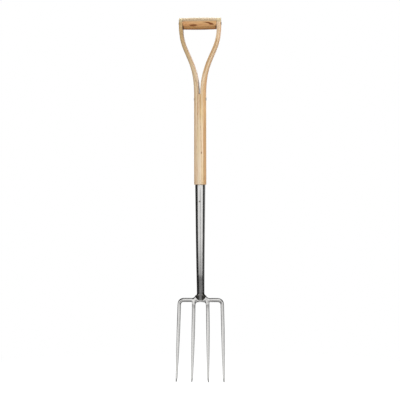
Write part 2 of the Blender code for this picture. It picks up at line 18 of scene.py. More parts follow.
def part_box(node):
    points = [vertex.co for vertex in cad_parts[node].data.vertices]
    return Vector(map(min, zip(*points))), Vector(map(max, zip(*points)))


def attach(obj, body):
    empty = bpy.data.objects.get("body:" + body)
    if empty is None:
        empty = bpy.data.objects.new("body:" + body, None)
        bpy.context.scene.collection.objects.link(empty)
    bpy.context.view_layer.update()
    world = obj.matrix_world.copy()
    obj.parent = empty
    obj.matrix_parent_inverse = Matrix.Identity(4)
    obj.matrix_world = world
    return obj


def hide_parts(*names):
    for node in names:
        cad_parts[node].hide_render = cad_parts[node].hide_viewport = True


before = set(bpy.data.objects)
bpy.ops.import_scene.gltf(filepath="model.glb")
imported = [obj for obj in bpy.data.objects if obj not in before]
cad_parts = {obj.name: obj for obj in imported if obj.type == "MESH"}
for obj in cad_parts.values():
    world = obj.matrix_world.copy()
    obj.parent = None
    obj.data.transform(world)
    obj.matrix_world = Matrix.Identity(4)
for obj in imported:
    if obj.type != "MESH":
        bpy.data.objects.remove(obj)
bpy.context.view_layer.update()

Point = tuple[float, float, float]
Ring = list[Point]
Stops = tuple[tuple[float, str], ...]       # places on a colour ramp and their sRGB hex colours

BODY = "root"
LOG = logging.getLogger("border_fork")

MIX_FACTOR = 0      # sockets of a Mix node that mixes colours
MIX_A = 6
MIX_B = 7
MIX_RESULT = 2

WHITE = (1.0, 1.0, 1.0, 1.0)

PAINTED_DARK_REFLECTION = "painted_dark_reflection"         # attribute of the socket's mesh: how much painted dark reflection it carries
GRAIN_SPACE = "grain_space"     # attribute of the shaft's mesh: each point's place in the unbent wood


class Slot(Enum):
    """Material slots of the record, one for each kind of finish on the pieces."""

    STEEL = "stainless_polished"
    RIVET = "rivet_steel"
    ASH = "ash_wood"
    GRIP = "ash_grip"


class Side(Enum):
    """The two halves of the fork, as the sign of x."""

    LEFT = -1
    RIGHT = 1


def lerp(low: float, high: float, share: float) -> float:
    """Value between low and high at a share."""
    return low + (high - low) * share


def clamp(value: float) -> float:
    """Limit a share to 0 to 1."""
    return max(0.0, min(1.0, value))


def ease(share: float) -> float:
    """Share with a gentle start and end."""
    share = clamp(share)
    return share * share * (3 - 2 * share)


def linear(code: str) -> tuple[float, float, float, float]:
    """Turn an sRGB hex colour into linear RGBA.

    Args:
        code: colour as "#rrggbb".

    Returns:
        Linear red, green, blue and an alpha of 1.
    """
    parts = [int(code[i:i + 2], 16) / 255 for i in (1, 3, 5)]
    red, green, blue = (c / 12.92 if c <= 0.04045 else ((c + 0.055) / 1.055) ** 2.4 for c in parts)
    return red, green, blue, 1.0


def fill_inputs(tree: bpy.types.NodeTree, node: bpy.types.Node, inputs: dict) -> None:
    """Fill or link a node's inputs.

    Args:
        tree: node tree that it is in.
        node: the node.
        inputs: value, output socket or node for each input, by its name or number, or a list of
            nodes for an input that takes several.
    """
    for key, value in inputs.items():
        for source in value if isinstance(value, list) else [value]:
            if isinstance(source, bpy.types.Node):
                tree.links.new(source.outputs[0], node.inputs[key])
            elif isinstance(source, bpy.types.NodeSocket):
                tree.links.new(source, node.inputs[key])
            else:
                node.inputs[key].default_value = source


def add_node(tree: bpy.types.NodeTree, kind: str, inputs: dict | None = None, **settings) -> bpy.types.Node:
    """Add a node with its settings, and fill or link its inputs.

    Args:
        tree: node tree to add to.
        kind: type name of the node.
        inputs: what its inputs get, as fill_inputs takes it.
        **settings: properties of the node itself.

    Returns:
        The new node.
    """
    node = tree.nodes.new(kind)
    for name, value in settings.items():
        setattr(node, name, value)
    fill_inputs(tree, node, inputs or {})
    return node


def fill_ramp(node: bpy.types.Node, stops: Stops) -> bpy.types.Node:
    """Set a colour ramp's stops.

    Args:
        node: the colour ramp node.
        stops: position and sRGB hex colour of each stop, in rising order.

    Returns:
        The same node.
    """
    elements = node.color_ramp.elements
    while len(elements) < len(stops):
        elements.new(1.0)
    for element, (position, code) in zip(elements, stops):
        element.position = position
        element.color = linear(code)
    return node


def new_material(name: str) -> tuple[bpy.types.Material, bpy.types.NodeTree, bpy.types.Node]:
    """Make a material with a Principled shader.

    Args:
        name: what the material really is.

    Returns:
        The material, its node tree and its shader node.
    """
    material = bpy.data.materials.new(name)
    material.use_nodes = True
    tree = material.node_tree
    return material, tree, tree.nodes["Principled BSDF"]


def add_object(name: str, data: bpy.types.ID) -> bpy.types.Object:
    """Put a mesh, lamp or camera into the scene.

    Args:
        name: name of the object.
        data: what it holds.

    Returns:
        The new object, at the origin.
    """
    item = bpy.data.objects.new(name, data)
    bpy.context.scene.collection.objects.link(item)
    return item


def bridge(bm: bmesh.types.BMesh, ring: list, following: list, gap: tuple[int, ...] = ()) -> None:
    """Add the faces between two rings.

    Args:
        bm: mesh to add to.
        ring: vertices of the first ring.
        following: as many vertices of the next one.
        gap: numbers of the faces that are left open.
    """
    for i, vert in enumerate(ring):
        if i not in gap:
            j = (i + 1) % len(ring)
            bm.faces.new((vert, ring[j], following[j], following[i]))


def outward_mesh(name: str, bm: bmesh.types.BMesh) -> bpy.types.Mesh:
    """Turn a closed skin into a mesh with its faces pointing outwards.

    Args:
        name: name of the mesh.
        bm: the skin, which is used up.

    Returns:
        The new mesh.
    """
    bmesh.ops.recalc_face_normals(bm, faces=bm.faces)
    mesh = bpy.data.meshes.new(name)
    bm.to_mesh(mesh)
    bm.free()
    return mesh


def add_piece(name: str, bm: bmesh.types.BMesh, material: bpy.types.Material) -> bpy.types.Object:
    """Make a smooth piece of a finished skin.

    Args:
        name: name of the piece.
        bm: the skin, which is used up.
        material: its material.

    Returns:
        The new object, at the origin.
    """
    mesh = outward_mesh(name, bm)
    mesh.shade_smooth()
    mesh.materials.append(material)
    return add_object(name, mesh)


def settle(piece: bpy.types.Object) -> None:
    """Turn a piece and its modifiers into a plain mesh.

    Args:
        piece: the piece, changed in place.
    """
    bpy.context.view_layer.update()
    graph = bpy.context.evaluated_depsgraph_get()
    mesh = bpy.data.meshes.new_from_object(
        piece.evaluated_get(graph), preserve_all_data_layers=True, depsgraph=graph
    )
    piece.modifiers.clear()
    piece.data = mesh
    mesh.name = piece.name


def dress(piece: bpy.types.Object, slot: Slot, *nodes: str) -> None:
    """Let a finished piece stand for its CAD nodes, ride on the body and be logged.

    Args:
        piece: the finished piece.
        slot: material slot of its finish in the record; not used.
        *nodes: CAD nodes that it stands for.
    """
    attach(piece, BODY)
    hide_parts(*nodes)
    LOG.info("%s stands for %s, %d faces", piece.name, ", ".join(nodes), len(piece.data.polygons))


class Recipe:
    """A Geometry Nodes tree with named sizes, run once for each piece that it makes."""

    sharp_angle = math.radians(40)      # between two faces, above which their edge is sharp

    def __init__(self, name: str) -> None:
        """Start an empty tree.

        Args:
            name: its name.
        """
        self.tree = bpy.data.node_groups.new(name, "GeometryNodeTree")
        self.tree.interface.new_socket("Geometry", in_out="OUTPUT", socket_type="NodeSocketGeometry")
        self.source = self.tree.nodes.new("NodeGroupInput")

    def size(self, name: str) -> bpy.types.NodeSocket:
        """Add a named size in metres, or an angle, and give its socket."""
        self.tree.interface.new_socket(name, in_out="INPUT", socket_type="NodeSocketFloat")
        return self.source.outputs[name]

    def add(self, kind: str, inputs: dict | None = None, **settings) -> bpy.types.Node:
        """Add a node to the recipe's tree, as add_node does."""
        return add_node(self.tree, kind, inputs, **settings)

    def dome(self, share: bpy.types.Node) -> bpy.types.Node:
        """Add the height of a round dome, from 1 in its middle to 0 at its rim.

        Args:
            share: part of the way from the middle to the rim.

        Returns:
            The height's node.
        """
        square = self.add("ShaderNodeMath", {0: share, 1: share}, operation="MULTIPLY")
        rest = self.add("ShaderNodeMath", {0: 1.0, 1: square}, operation="SUBTRACT", use_clamp=True)
        return self.add("ShaderNodeMath", {0: rest}, operation="SQRT")

    def pin(self, sides: int, radius: bpy.types.NodeSocket, reach: bpy.types.NodeSocket) -> bpy.types.Node:
        """Add a plain pin along x.

        Args:
            sides: flat sides that it is made of.
            radius: its radius.
            reach: how far it goes to each side of the middle.

        Returns:
            The pin's last node.
        """
        length = self.add("ShaderNodeMath", {0: reach, 1: 2.0}, operation="MULTIPLY")
        upright = self.add("GeometryNodeMeshCylinder", {"Vertices": sides, "Radius": radius, "Depth": length})
        return self.add("GeometryNodeTransform", {0: upright, "Rotation": (0, math.radians(90), 0)})

    def both_ends(self, reach: bpy.types.Node | bpy.types.NodeSocket) -> bpy.types.Node:
        """Add two points on x, to the left and to the right of the middle.

        Args:
            reach: how far each is from the middle.

        Returns:
            The points' node.
        """
        left = self.add("ShaderNodeMath", {0: reach, 1: -1.0}, operation="MULTIPLY")
        return self.add("GeometryNodeMeshLine", {
            "Count": 2,
            "Start Location": self.add("ShaderNodeCombineXYZ", {0: left}),
            "Offset": self.add("ShaderNodeCombineXYZ", {0: reach}),
        }, mode="END_POINTS")

    def finish(self, geometry: bpy.types.Node, material: bpy.types.Material) -> None:
        """End the tree with real geometry in one material.

        Args:
            geometry: last node of the shape.
            material: the material that it gets.
        """
        real = self.add("GeometryNodeRealizeInstances", {0: geometry})
        smooth = self.add("GeometryNodeSetShadeSmooth", {0: real})
        dressed = self.add("GeometryNodeSetMaterial", {0: smooth, "Material": material})
        self.add("NodeGroupOutput", {0: dressed})

    def make(self, name: str, sizes: dict[str, float]) -> bpy.types.Object:
        """Run the tree and keep its result as a plain mesh.

        Args:
            name: name of the piece.
            sizes: value of each named input.

        Returns:
            The new piece, at the origin.
        """
        piece = add_object(name, bpy.data.meshes.new(name))
        modifier = piece.modifiers.new(self.tree.name, "NODES")
        modifier.node_group = self.tree
        for item in self.tree.interface.items_tree:
            if item.in_out == "INPUT":
                modifier[item.identifier] = float(sizes[item.name])
        settle(piece)
        piece.data.set_sharp_from_angle(angle=self.sharp_angle)
        return piece


@dataclass(frozen=True)
class PolishedStainless:
    """Forged stainless steel, ground along its length and polished: a mirror softened by fine marks."""

    name: str = "polished_stainless_steel"
    colour: str = "#e6e5e3"
    roughness: float = 0.17
    roughness_spread: float = 0.10
    mark_width: float = 0.0006      # grinding marks, drawn coarser than the real 0.1 mm so that they show
    mark_length: float = 0.030
    mark_depth: float = 0.000012
    forge_size: float = 0.012       # slow waves that forging leaves under the polish
    forge_depth: float = 0.00006
    painted_dark_reflection: str = "#65645e"      # painted dark reflection on the socket's V wings, which also covers glints

    def build(self) -> bpy.types.Material:
        """Make the material.

        Returns:
            The new material.
        """
        material, tree, shader = new_material(self.name)
        place = add_node(tree, "ShaderNodeTexCoord").outputs["Object"]
        stretched = add_node(tree, "ShaderNodeMapping", {
            "Vector": place, "Scale": (1 / self.mark_width, 1 / self.mark_width, 1 / self.mark_length),
        })
        marks = add_node(tree, "ShaderNodeTexNoise", {"Vector": stretched, "Scale": 1.0, "Detail": 2.0})
        waves = add_node(tree, "ShaderNodeTexNoise", {
            "Vector": place, "Scale": 1 / self.forge_size, "Detail": 1.0,
        })
        rough = add_node(tree, "ShaderNodeMapRange", {
            "Value": marks, "From Min": 0.3, "From Max": 0.7,
            "To Min": self.roughness - self.roughness_spread / 2,
            "To Max": self.roughness + self.roughness_spread / 2,
        })
        forged = add_node(tree, "ShaderNodeBump", {
            "Height": waves, "Distance": self.forge_depth, "Strength": 1.0,
        })
        ground = add_node(tree, "ShaderNodeBump", {
            "Height": marks, "Distance": self.mark_depth, "Strength": 1.0, "Normal": forged,
        })
        # Painted dark reflection: the socket's V is darkened through a mesh attribute, standing in for the
        # dark surroundings that it mirrors.
        painted_dark = add_node(tree, "ShaderNodeAttribute", attribute_name=PAINTED_DARK_REFLECTION)
        tone = add_node(tree, "ShaderNodeMix", {
            MIX_FACTOR: painted_dark.outputs["Fac"], MIX_A: linear(self.colour), MIX_B: linear(self.painted_dark_reflection),
        }, data_type="RGBA")
        fill_inputs(tree, shader, {
            "Base Color": tone.outputs[MIX_RESULT], "Metallic": 1.0, "Roughness": rough, "Normal": ground,
        })
        return material


@dataclass(frozen=True)
class RivetSteel:
    """Mild steel rivets and washers, peened over by hand: dull, with small hammer dents."""

    name: str = "peened_rivet_steel"
    light: str = "#b9b6b0"
    dark: str = "#8f8b85"
    roughness: float = 0.36
    dent_size: float = 0.0016
    dent_depth: float = 0.00008

    def build(self) -> bpy.types.Material:
        """Make the material.

        Returns:
            The new material.
        """
        material, tree, shader = new_material(self.name)
        place = add_node(tree, "ShaderNodeTexCoord").outputs["Object"]
        dents = add_node(tree, "ShaderNodeTexVoronoi", {"Vector": place, "Scale": 1 / self.dent_size})
        patch = add_node(tree, "ShaderNodeTexNoise", {
            "Vector": place, "Scale": 1 / self.dent_size, "Detail": 3.0,
        })
        tone = fill_ramp(
            add_node(tree, "ShaderNodeValToRGB", {"Fac": patch}), ((0.3, self.dark), (0.65, self.light))
        )
        bump = add_node(tree, "ShaderNodeBump", {
            "Height": dents, "Distance": self.dent_depth, "Strength": 0.6,
        })
        fill_inputs(tree, shader, {
            "Base Color": tone, "Metallic": 1.0, "Roughness": self.roughness, "Normal": bump,
        })
        return material


@dataclass(frozen=True)
class Streak:
    """A dark patch in the wood, as a soft oval on the front."""

    along: float
    across: float
    half_length: float
    half_width: float
    nose: bool = False              # only the upper far quarter of the oval's outline, as a curved line
    line_width: float = 0.16        # half width of that line, as a share of the oval
    line_start: float = 0.20        # where it begins to show, and is full, as shares of the half length
    line_full: float = 0.60
    line_below: float = 0.0016      # how far it fades under the oval's middle, and is full above it
    line_above: float = 0.0004


@dataclass(frozen=True)
class TintAndShade:
    """A tint over part of the wood beyond a soft border; most of them are painted shade and painted
    reflection, a few the wood's own tone.
    """

    colour: str
    axis: int                       # axis across the border: 0 is x and 2 is z
    start: float
    full: float
    other_start: float = -1.0       # where along the other of those two axes it starts, and is full,
    other_full: float = -0.9        # which by default is below everything
    both_ways: bool = False         # measured from the middle to both sides
    multiply: bool = True           # darkens the wood, or else covers it


@dataclass(frozen=True)
class AshWood:
    """Ash under clear lacquer: growth rings as long lines, each with a band of open pores."""

    name: str
    ring_stops: Stops
    heart: str                      # tone of the wood further in, where the sides are cut through the rings
    fleck: str
    pith: tuple[float, float]       # across and deep, where the tree's middle lay
    pale_depth: float               # thickness of the pale outer wood, from the front face
    front: float                    # depth of the front face
    along: int                      # axis that the grain follows: 0 is x and 2 is z
    border_before: float = 0.0012   # how far the pale wood's soft border reaches to the front and to the back
    border_behind: float = 0.0022
    attribute: str = ""             # vector attribute to read, or empty for Object coordinates
    origin: Point = (0.0, 0.0, 0.0)
    ring_width: float = 0.0024
    wander: float = 0.0016          # how far a ring strays from its circle
    wander_size: float = 0.014
    wander_length: float = 0.16
    pore_width: float = 0.00045     # drawn a little coarser than the real 0.25 mm so that they show
    pore_length: float = 0.009
    pore_depth: float = 0.00004
    cast_width: float = 0.009       # slow changes of colour along the wood
    cast_length: float = 0.11
    cast_share: float = 0.75
    cast_stops: Stops = ((0.30, "#f0d7c3"), (0.5, "#ffffff"), (0.72, "#f2eac9"))
    roughness: float = 0.42
    shine: float = 0.3              # of the bare wood, 0.5 being that of glass
    coat: float = 0.15
    coat_roughness: float = 0.16
    bloom: float = 0.4              # pale bloom of the lacquer where light grazes it
    bloom_roughness: float = 0.35
    streaks: tuple[Streak, ...] = ()
    # Tints over parts of the wood: mostly painted shade and painted reflection, some the wood's own tone.
    tints_and_shades: tuple[TintAndShade, ...] = ()

    def stretched(self, across: float, along: float) -> tuple[float, float, float]:
        """Scale of a pattern that is long along the grain.

        Args:
            across: its size across the grain.
            along: its size along the grain.

        Returns:
            The scale on the three axes.
        """
        scale = [1 / across] * 3
        scale[self.along] = 1 / along
        return tuple(scale)

    def build(self) -> bpy.types.Material:
        """Make the material.

        Returns:
            The new material.
        """
        material, tree, shader = new_material(self.name)
        if self.attribute:
            raw = add_node(tree, "ShaderNodeAttribute", attribute_name=self.attribute).outputs["Vector"]
        else:
            raw = add_node(tree, "ShaderNodeTexCoord").outputs["Object"]
        place = add_node(tree, "ShaderNodeVectorMath", {0: raw, 1: self.origin}, operation="SUBTRACT")

        ring, depth = self.add_rings(tree, place)
        inner = add_node(tree, "ShaderNodeMapRange", {
            "Value": depth, "From Min": self.pale_depth - self.border_before,
            "From Max": self.pale_depth + self.border_behind,
        }, interpolation_type="SMOOTHSTEP")
        pores = self.add_pores(tree, place, ring)
        layers = [
            (inner, linear(self.heart), "MULTIPLY"),
            (self.cast_share, self.add_cast(tree, place), "MULTIPLY"),
            (pores, linear(self.fleck), "MIX"),
        ]
        for patch in self.tints_and_shades:
            blend = "MULTIPLY" if patch.multiply else "MIX"
            layers.append((self.add_tint_and_shade(tree, place, patch), linear(patch.colour), blend))
        for streak in self.streaks:
            layers.append((self.add_streak(tree, place, streak), linear(self.fleck), "MIX"))
        colour = fill_ramp(add_node(tree, "ShaderNodeValToRGB", {"Fac": ring}), self.ring_stops).outputs[0]
        for share, tint, blend in layers:
            colour = add_node(tree, "ShaderNodeMix", {
                MIX_FACTOR: share, MIX_A: colour, MIX_B: tint,
            }, data_type="RGBA", blend_type=blend).outputs[MIX_RESULT]

        bump = add_node(tree, "ShaderNodeBump", {
            "Height": pores, "Distance": self.pore_depth, "Strength": 0.7,
        }, invert=True)
        fill_inputs(tree, shader, {
            "Base Color": colour, "Normal": bump,
            "Roughness": self.roughness, "Specular IOR Level": self.shine,
            "Coat Weight": self.coat, "Coat Roughness": self.coat_roughness,
            "Sheen Weight": self.bloom, "Sheen Roughness": self.bloom_roughness,
        })
        return material

    def add_rings(
        self, tree: bpy.types.NodeTree, place: bpy.types.Node
    ) -> tuple[bpy.types.Node, bpy.types.Node]:
        """Add the growth rings, as wavy circles round the pith.

        Args:
            tree: node tree of the material.
            place: the point in the wood.

        Returns:
            Place within a ring from 0 to 1, and depth behind the front face in metres.
        """
        slow = add_node(tree, "ShaderNodeMapping", {
            "Vector": place, "Scale": self.stretched(self.wander_size, self.wander_length),
        })
        noise = add_node(tree, "ShaderNodeTexNoise", {"Vector": slow, "Scale": 1.0, "Detail": 2.0})
        centred = add_node(tree, "ShaderNodeVectorMath", {
            0: noise.outputs["Color"], 1: (0.5, 0.5, 0.5),
        }, operation="SUBTRACT")
        shift = add_node(tree, "ShaderNodeVectorMath", {
            0: centred, "Scale": 2 * self.wander,
        }, operation="SCALE")
        moved = add_node(tree, "ShaderNodeVectorMath", {0: place, 1: shift}, operation="ADD")
        across, deep = self.pith
        pith = [across, deep, across]
        flat = [1.0, 1.0, 1.0]
        pith[self.along] = 0.0
        flat[self.along] = 0.0
        offset = add_node(tree, "ShaderNodeVectorMath", {0: moved, 1: tuple(pith)}, operation="SUBTRACT")
        level = add_node(tree, "ShaderNodeVectorMath", {0: offset, 1: tuple(flat)}, operation="MULTIPLY")
        radius = add_node(tree, "ShaderNodeVectorMath", {0: level}, operation="LENGTH").outputs["Value"]
        count = add_node(tree, "ShaderNodeMath", {0: radius, 1: self.ring_width}, operation="DIVIDE")
        ring = add_node(tree, "ShaderNodeMath", {0: count}, operation="FRACT")
        front_radius = math.hypot(across, deep - self.front)
        depth = add_node(tree, "ShaderNodeMath", {0: front_radius, 1: radius}, operation="SUBTRACT")
        return ring, depth

    def add_cast(self, tree: bpy.types.NodeTree, place: bpy.types.Node) -> bpy.types.Node:
        """Add the slow changes of colour along the wood.

        Args:
            tree: node tree of the material.
            place: the point in the wood.

        Returns:
            Tint of the wood there.
        """
        slow = add_node(tree, "ShaderNodeMapping", {
            "Vector": place, "Scale": self.stretched(self.cast_width, self.cast_length),
        })
        cloud = add_node(tree, "ShaderNodeTexNoise", {"Vector": slow, "Scale": 1.0, "Detail": 2.0})
        return fill_ramp(add_node(tree, "ShaderNodeValToRGB", {"Fac": cloud}), self.cast_stops)

    def add_pores(
        self, tree: bpy.types.NodeTree, place: bpy.types.Node, ring: bpy.types.Node
    ) -> bpy.types.Node:
        """Add the open pores, as short dashes in the first part of each ring.

        Args:
            tree: node tree of the material.
            place: the point in the wood.
            ring: place within a ring.

        Returns:
            Share of pore colour.
        """
        fine = add_node(tree, "ShaderNodeMapping", {
            "Vector": place, "Scale": self.stretched(self.pore_width, self.pore_length),
        })
        dash = add_node(tree, "ShaderNodeTexNoise", {"Vector": fine, "Scale": 1.0, "Detail": 0.0})
        sharp = add_node(tree, "ShaderNodeMapRange", {
            "Value": dash, "From Min": 0.56, "From Max": 0.68, "To Max": 0.55,
        })
        early = add_node(tree, "ShaderNodeMapRange", {
            "Value": ring, "From Min": 0.45, "From Max": 0.12, "To Min": 0.12,
        })
        return add_node(tree, "ShaderNodeMath", {0: sharp, 1: early}, operation="MULTIPLY")

    def add_streak(
        self, tree: bpy.types.NodeTree, place: bpy.types.Node, streak: Streak
    ) -> bpy.types.Node:
        """Add the mask of one dark patch on the front.

        Args:
            tree: node tree of the material.
            place: the point in the wood.
            streak: where it is and how large.

        Returns:
            Share of the dark colour.
        """
        centre = [streak.across, 0.0, streak.across]
        scale = [1 / streak.half_width, 0.0, 1 / streak.half_width]
        centre[self.along] = streak.along
        scale[self.along] = 1 / streak.half_length
        offset = add_node(tree, "ShaderNodeVectorMath", {0: place, 1: tuple(centre)}, operation="SUBTRACT")
        scaled = add_node(tree, "ShaderNodeVectorMath", {0: offset, 1: tuple(scale)}, operation="MULTIPLY")
        reach = add_node(tree, "ShaderNodeVectorMath", {0: scaled}, operation="LENGTH").outputs["Value"]
        oval = add_node(tree, "ShaderNodeMapRange", {
            "Value": reach, "From Min": 1.0, "From Max": 0.55, "To Max": 0.9,
        }, interpolation_type="SMOOTHSTEP")
        parts = add_node(tree, "ShaderNodeSeparateXYZ", {0: place})
        if streak.nose:
            rim = add_node(tree, "ShaderNodeMath", {
                0: reach, 1: 1.0, 2: streak.line_width,
            }, operation="COMPARE")
            end = add_node(tree, "ShaderNodeMapRange", {
                "Value": parts.outputs[self.along],
                "From Min": streak.along + streak.line_start * streak.half_length,
                "From Max": streak.along + streak.line_full * streak.half_length,
            })
            upper = add_node(tree, "ShaderNodeMapRange", {
                "Value": parts.outputs[2 - self.along],
                "From Min": streak.across - streak.line_below, "From Max": streak.across + streak.line_above,
            })
            corner = add_node(tree, "ShaderNodeMath", {0: end, 1: upper}, operation="MULTIPLY")
            oval = add_node(tree, "ShaderNodeMath", {0: rim, 1: corner}, operation="MULTIPLY")
        front = add_node(tree, "ShaderNodeMath", {0: parts.outputs[1], 1: 0.0}, operation="LESS_THAN")
        return add_node(tree, "ShaderNodeMath", {0: oval, 1: front}, operation="MULTIPLY")

    def add_tint_and_shade(
        self, tree: bpy.types.NodeTree, place: bpy.types.Node, patch: TintAndShade
    ) -> bpy.types.Node:
        """Add the mask of one tint, which painted shade, painted reflection and the wood's own tone all use.

        Args:
            tree: node tree of the material.
            place: the point in the wood.
            patch: where it is and how soft.

        Returns:
            Share of the tint.
        """
        parts = add_node(tree, "ShaderNodeSeparateXYZ", {0: place})
        spot = parts.outputs[patch.axis]
        if patch.both_ways:
            spot = add_node(tree, "ShaderNodeMath", {0: spot}, operation="ABSOLUTE")
        beyond = add_node(tree, "ShaderNodeMapRange", {
            "Value": spot, "From Min": patch.start, "From Max": patch.full,
        }, interpolation_type="SMOOTHSTEP")
        other = add_node(tree, "ShaderNodeMapRange", {
            "Value": parts.outputs[2 - patch.axis],
            "From Min": patch.other_start, "From Max": patch.other_full,
        }, interpolation_type="SMOOTHSTEP")
        return add_node(tree, "ShaderNodeMath", {0: beyond, 1: other}, operation="MULTIPLY")


@dataclass
class SocketForm:
    """Sizes of the socket that the head and the shaft fit as well."""

    waist_diameter: float = 0.0209
    wall: float = 0.0016
    flare_width: float = 0.0310
    flare_height: float = 0.0060
    flare_squareness: float = 3.0
    wing_height: float = 0.0012
    v_height: float = 0.0134
    v_bluntness: float = 1.8        # 1 is a straight-sided V, 2 a round one
    pressed_height: float = 0.0680  # lowest stretch, pressed thinner towards the V's tip
    foot_depth: float = 0.0132      # front to back over the tips of the V's tongues
    setback: float = 0.0085         # crown behind the shaft's axis
    crank_height: float = 0.1800

    def __post_init__(self) -> None:
        """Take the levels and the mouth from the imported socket."""
        low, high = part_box("socket")
        self.apex_z = low.z
        self.top_z = high.z
        self.wing_z = self.apex_z + self.v_height
        self.flare_foot_z = self.wing_z + self.wing_height
        self.flare_top_z = self.flare_foot_z + self.flare_height
        self.crank_top_z = self.apex_z + self.crank_height
        self.mouth_radius = -low.y

    def centre_y(self, z: float) -> float:
        """Depth of the centre line, which bends back to meet the head."""
        return self.setback * clamp((self.crank_top_z - z) / self.crank_height) ** 2

    def radius(self, z: float) -> float:
        """Outer radius of the round part at a height."""
        rise = (z - self.flare_top_z) / (self.top_z - self.flare_top_z)
        return lerp(self.waist_diameter / 2, self.mouth_radius, max(rise, 0.0))

    def section(self, z: float) -> tuple[float, float, float]:
        """Section of the outside at a height.

        Args:
            z: the height.

        Returns:
            Half width, half depth and squareness.
        """
        flare = clamp((self.flare_top_z - z) / self.flare_height)
        pressed = clamp(1 - (z - self.apex_z) / self.pressed_height)
        return (
            lerp(self.radius(z), self.flare_width / 2, flare ** 2),
            lerp(self.radius(z), self.foot_depth / 2, pressed),
            lerp(2.0, self.flare_squareness, flare ** 2),
        )

    def v_edge_z(self, x: float) -> float:
        """Height of the lower edge, a blunt V."""
        return lerp(self.apex_z, self.wing_z, clamp(abs(x) / (self.flare_width / 2)) ** self.v_bluntness)


@dataclass
class ForkHead:
    """The forged head: crown, shoulders and four tines in one skin, from a cage of eight-sided rings."""

    socket: SocketForm
    tine_length: float = 0.2184
    rod_diameter: float = 0.0112
    tine_width: float = 0.0093
    tine_depth: float = 0.0100
    inner_tine_x: float = 0.0191
    outer_tine_x: float = 0.0591
    inner_splay: float = 0.0033
    outer_splay: float = 0.0063
    bend_radius: float = 0.0112
    bend_steps: int = 5
    sweep: float = 0.0185
    sweep_power: float = 1.6
    taper_length: float = 0.140
    end_width: float = 0.0049
    end_depth: float = 0.0046
    flat_below_z: float = 0.117
    round_above_z: float = 0.169
    rod_corner: float = 0.755       # place of a section's corners, as a share; a circle's are at 0.7071
    flat_corner: float = 0.805
    point_length: float = 0.0130
    point_width: float = 0.0024
    point_depth: float = 0.0012
    point_grind: float = 0.25       # shift of a point to its outer side, as a share of the width it loses
    crown_depth: float = 0.0060     # half thickness of the crown at its flat cheeks
    crest_rise: float = 0.0120      # crown's top beside the socket, above the shoulders' centre line
    crown_columns: tuple[float, ...] = (0.36, 0.70, 0.90)   # from the middle to the inner tine, as shares
    core_rise: float = 0.0060       # crown's core inside the socket, above the V's edge
    tuck_rise: float = 0.0022       # crown's edges behind the V's tongues, above the V's edge
    tuck_depth: float = 0.0016      # the same, behind the cheeks
    lip_drop: float = 0.0009        # tops of the cheeks, below the V's edge
    crest_bevel: float = 0.0010     # depth of the bevel over an inner tine
    edge_bevel: float = 0.0012      # of a shoulder's upper edges, the lower ones having half of it
    inner_fillet: float = 0.0030    # between a shoulder and an inner tine
    arch_drop: float = 0.0057
    arch_height: float = 0.0070
    arch_bow: float = 1.06          # width of the arch's round, as a share of the gap that it spans
    arch_corner: float = 0.0010     # arch's front edge above its end, beside an inner tine
    arch_lean: float = 0.0002       # the same, behind the cheeks
    arch_sag: float = 0.0004        # arch's middle line below its end there
    facet_reach: float = 0.0260     # below the shoulders' centre line, where a tine's front facet ends
    facet_start: float = 0.0150     # the same, where it has its full width
    facet_corner: float = 0.86
    root_gap: float = 0.0010        # between the arch's end and an inner tine's first ring
    root_length: float = 0.0070     # from the arch's end to the first evenly spaced ring
    root_slant: float = 0.0050      # how much higher an inner tine starts at its outer side
    slant_length: float = 0.0160    # how far down that fades out
    facet_lean: float = 0.0003      # how much the cheeks and facets lean back at their top
    ring_spacing: float = 0.0140
    subdivisions: int = 3

    def __post_init__(self) -> None:
        """Work out the levels that follow from the sizes."""
        self.rod_radius = self.rod_diameter / 2
        self.shoulder_z = self.tine_length + self.rod_radius
        self.arch_top = self.shoulder_z - self.arch_drop
        self.arch_end = self.arch_top - self.arch_height
        self.facet_z = self.shoulder_z - self.facet_reach

    def centre_y(self, z: float) -> float:
        """Depth of the head's centre surface: the tines sweep forward from the crown."""
        return self.socket.setback - self.sweep * clamp(1 - z / self.shoulder_z) ** self.sweep_power

    def tine_section(self, z: float) -> tuple[float, float, float]:
        """Section of a tine at a height.

        Args:
            z: the height.

        Returns:
            Half width, half depth and how far out its corners are, as ring takes it.
        """
        taper = clamp(1 - z / self.taper_length)
        point = clamp(1 - z / self.point_length) ** 1.5
        bend = ease(1 - (self.shoulder_z - z) / self.bend_radius)
        top_width = lerp(self.tine_width, self.rod_diameter, bend)
        top_depth = lerp(self.tine_depth, self.rod_diameter, bend)
        width = lerp(lerp(top_width, self.end_width, taper), self.point_width, point)
        depth = lerp(lerp(top_depth, self.end_depth, taper), self.point_depth, point)
        flatness = ease((self.round_above_z - z) / (self.round_above_z - self.flat_below_z))
        corner = lerp(self.rod_corner, self.flat_corner, flatness)
        return width / 2, depth / 2, corner

    def ring(self, half_width: float, half_depth: float, corner: float) -> list[tuple[float, float]]:
        """Cage points of a section, which the subdivision rounds to the size asked for.

        Args:
            half_width: half width of the finished section.
            half_depth: its half depth.
            corner: how far out its corners are, as a share of the half sizes.

        Returns:
            Eight (across, deep) points, from the outer side round by the front.
        """
        diagonal = (6 * corner - 1.5) / 3.5
        axis = 1.5 - diagonal / 2
        shares = [
            (axis, 0), (diagonal, -diagonal), (0, -axis), (-diagonal, -diagonal),
            (-axis, 0), (-diagonal, diagonal), (0, axis), (diagonal, diagonal),
        ]
        return [(across * half_width, deep * half_depth) for across, deep in shares]

    def tine_levels(self, top_z: float) -> list[float]:
        """Heights of a tine's rings, closer together at its point.

        Args:
            top_z: height of the first ring.

        Returns:
            The heights, from the first ring down to the point.
        """
        count = round((top_z - self.point_length) / self.ring_spacing)
        body = [lerp(top_z, self.point_length, i / count) for i in range(count + 1)]
        return body + [self.point_length * share for share in (0.72, 0.45, 0.2, 0.05, 0.0)]

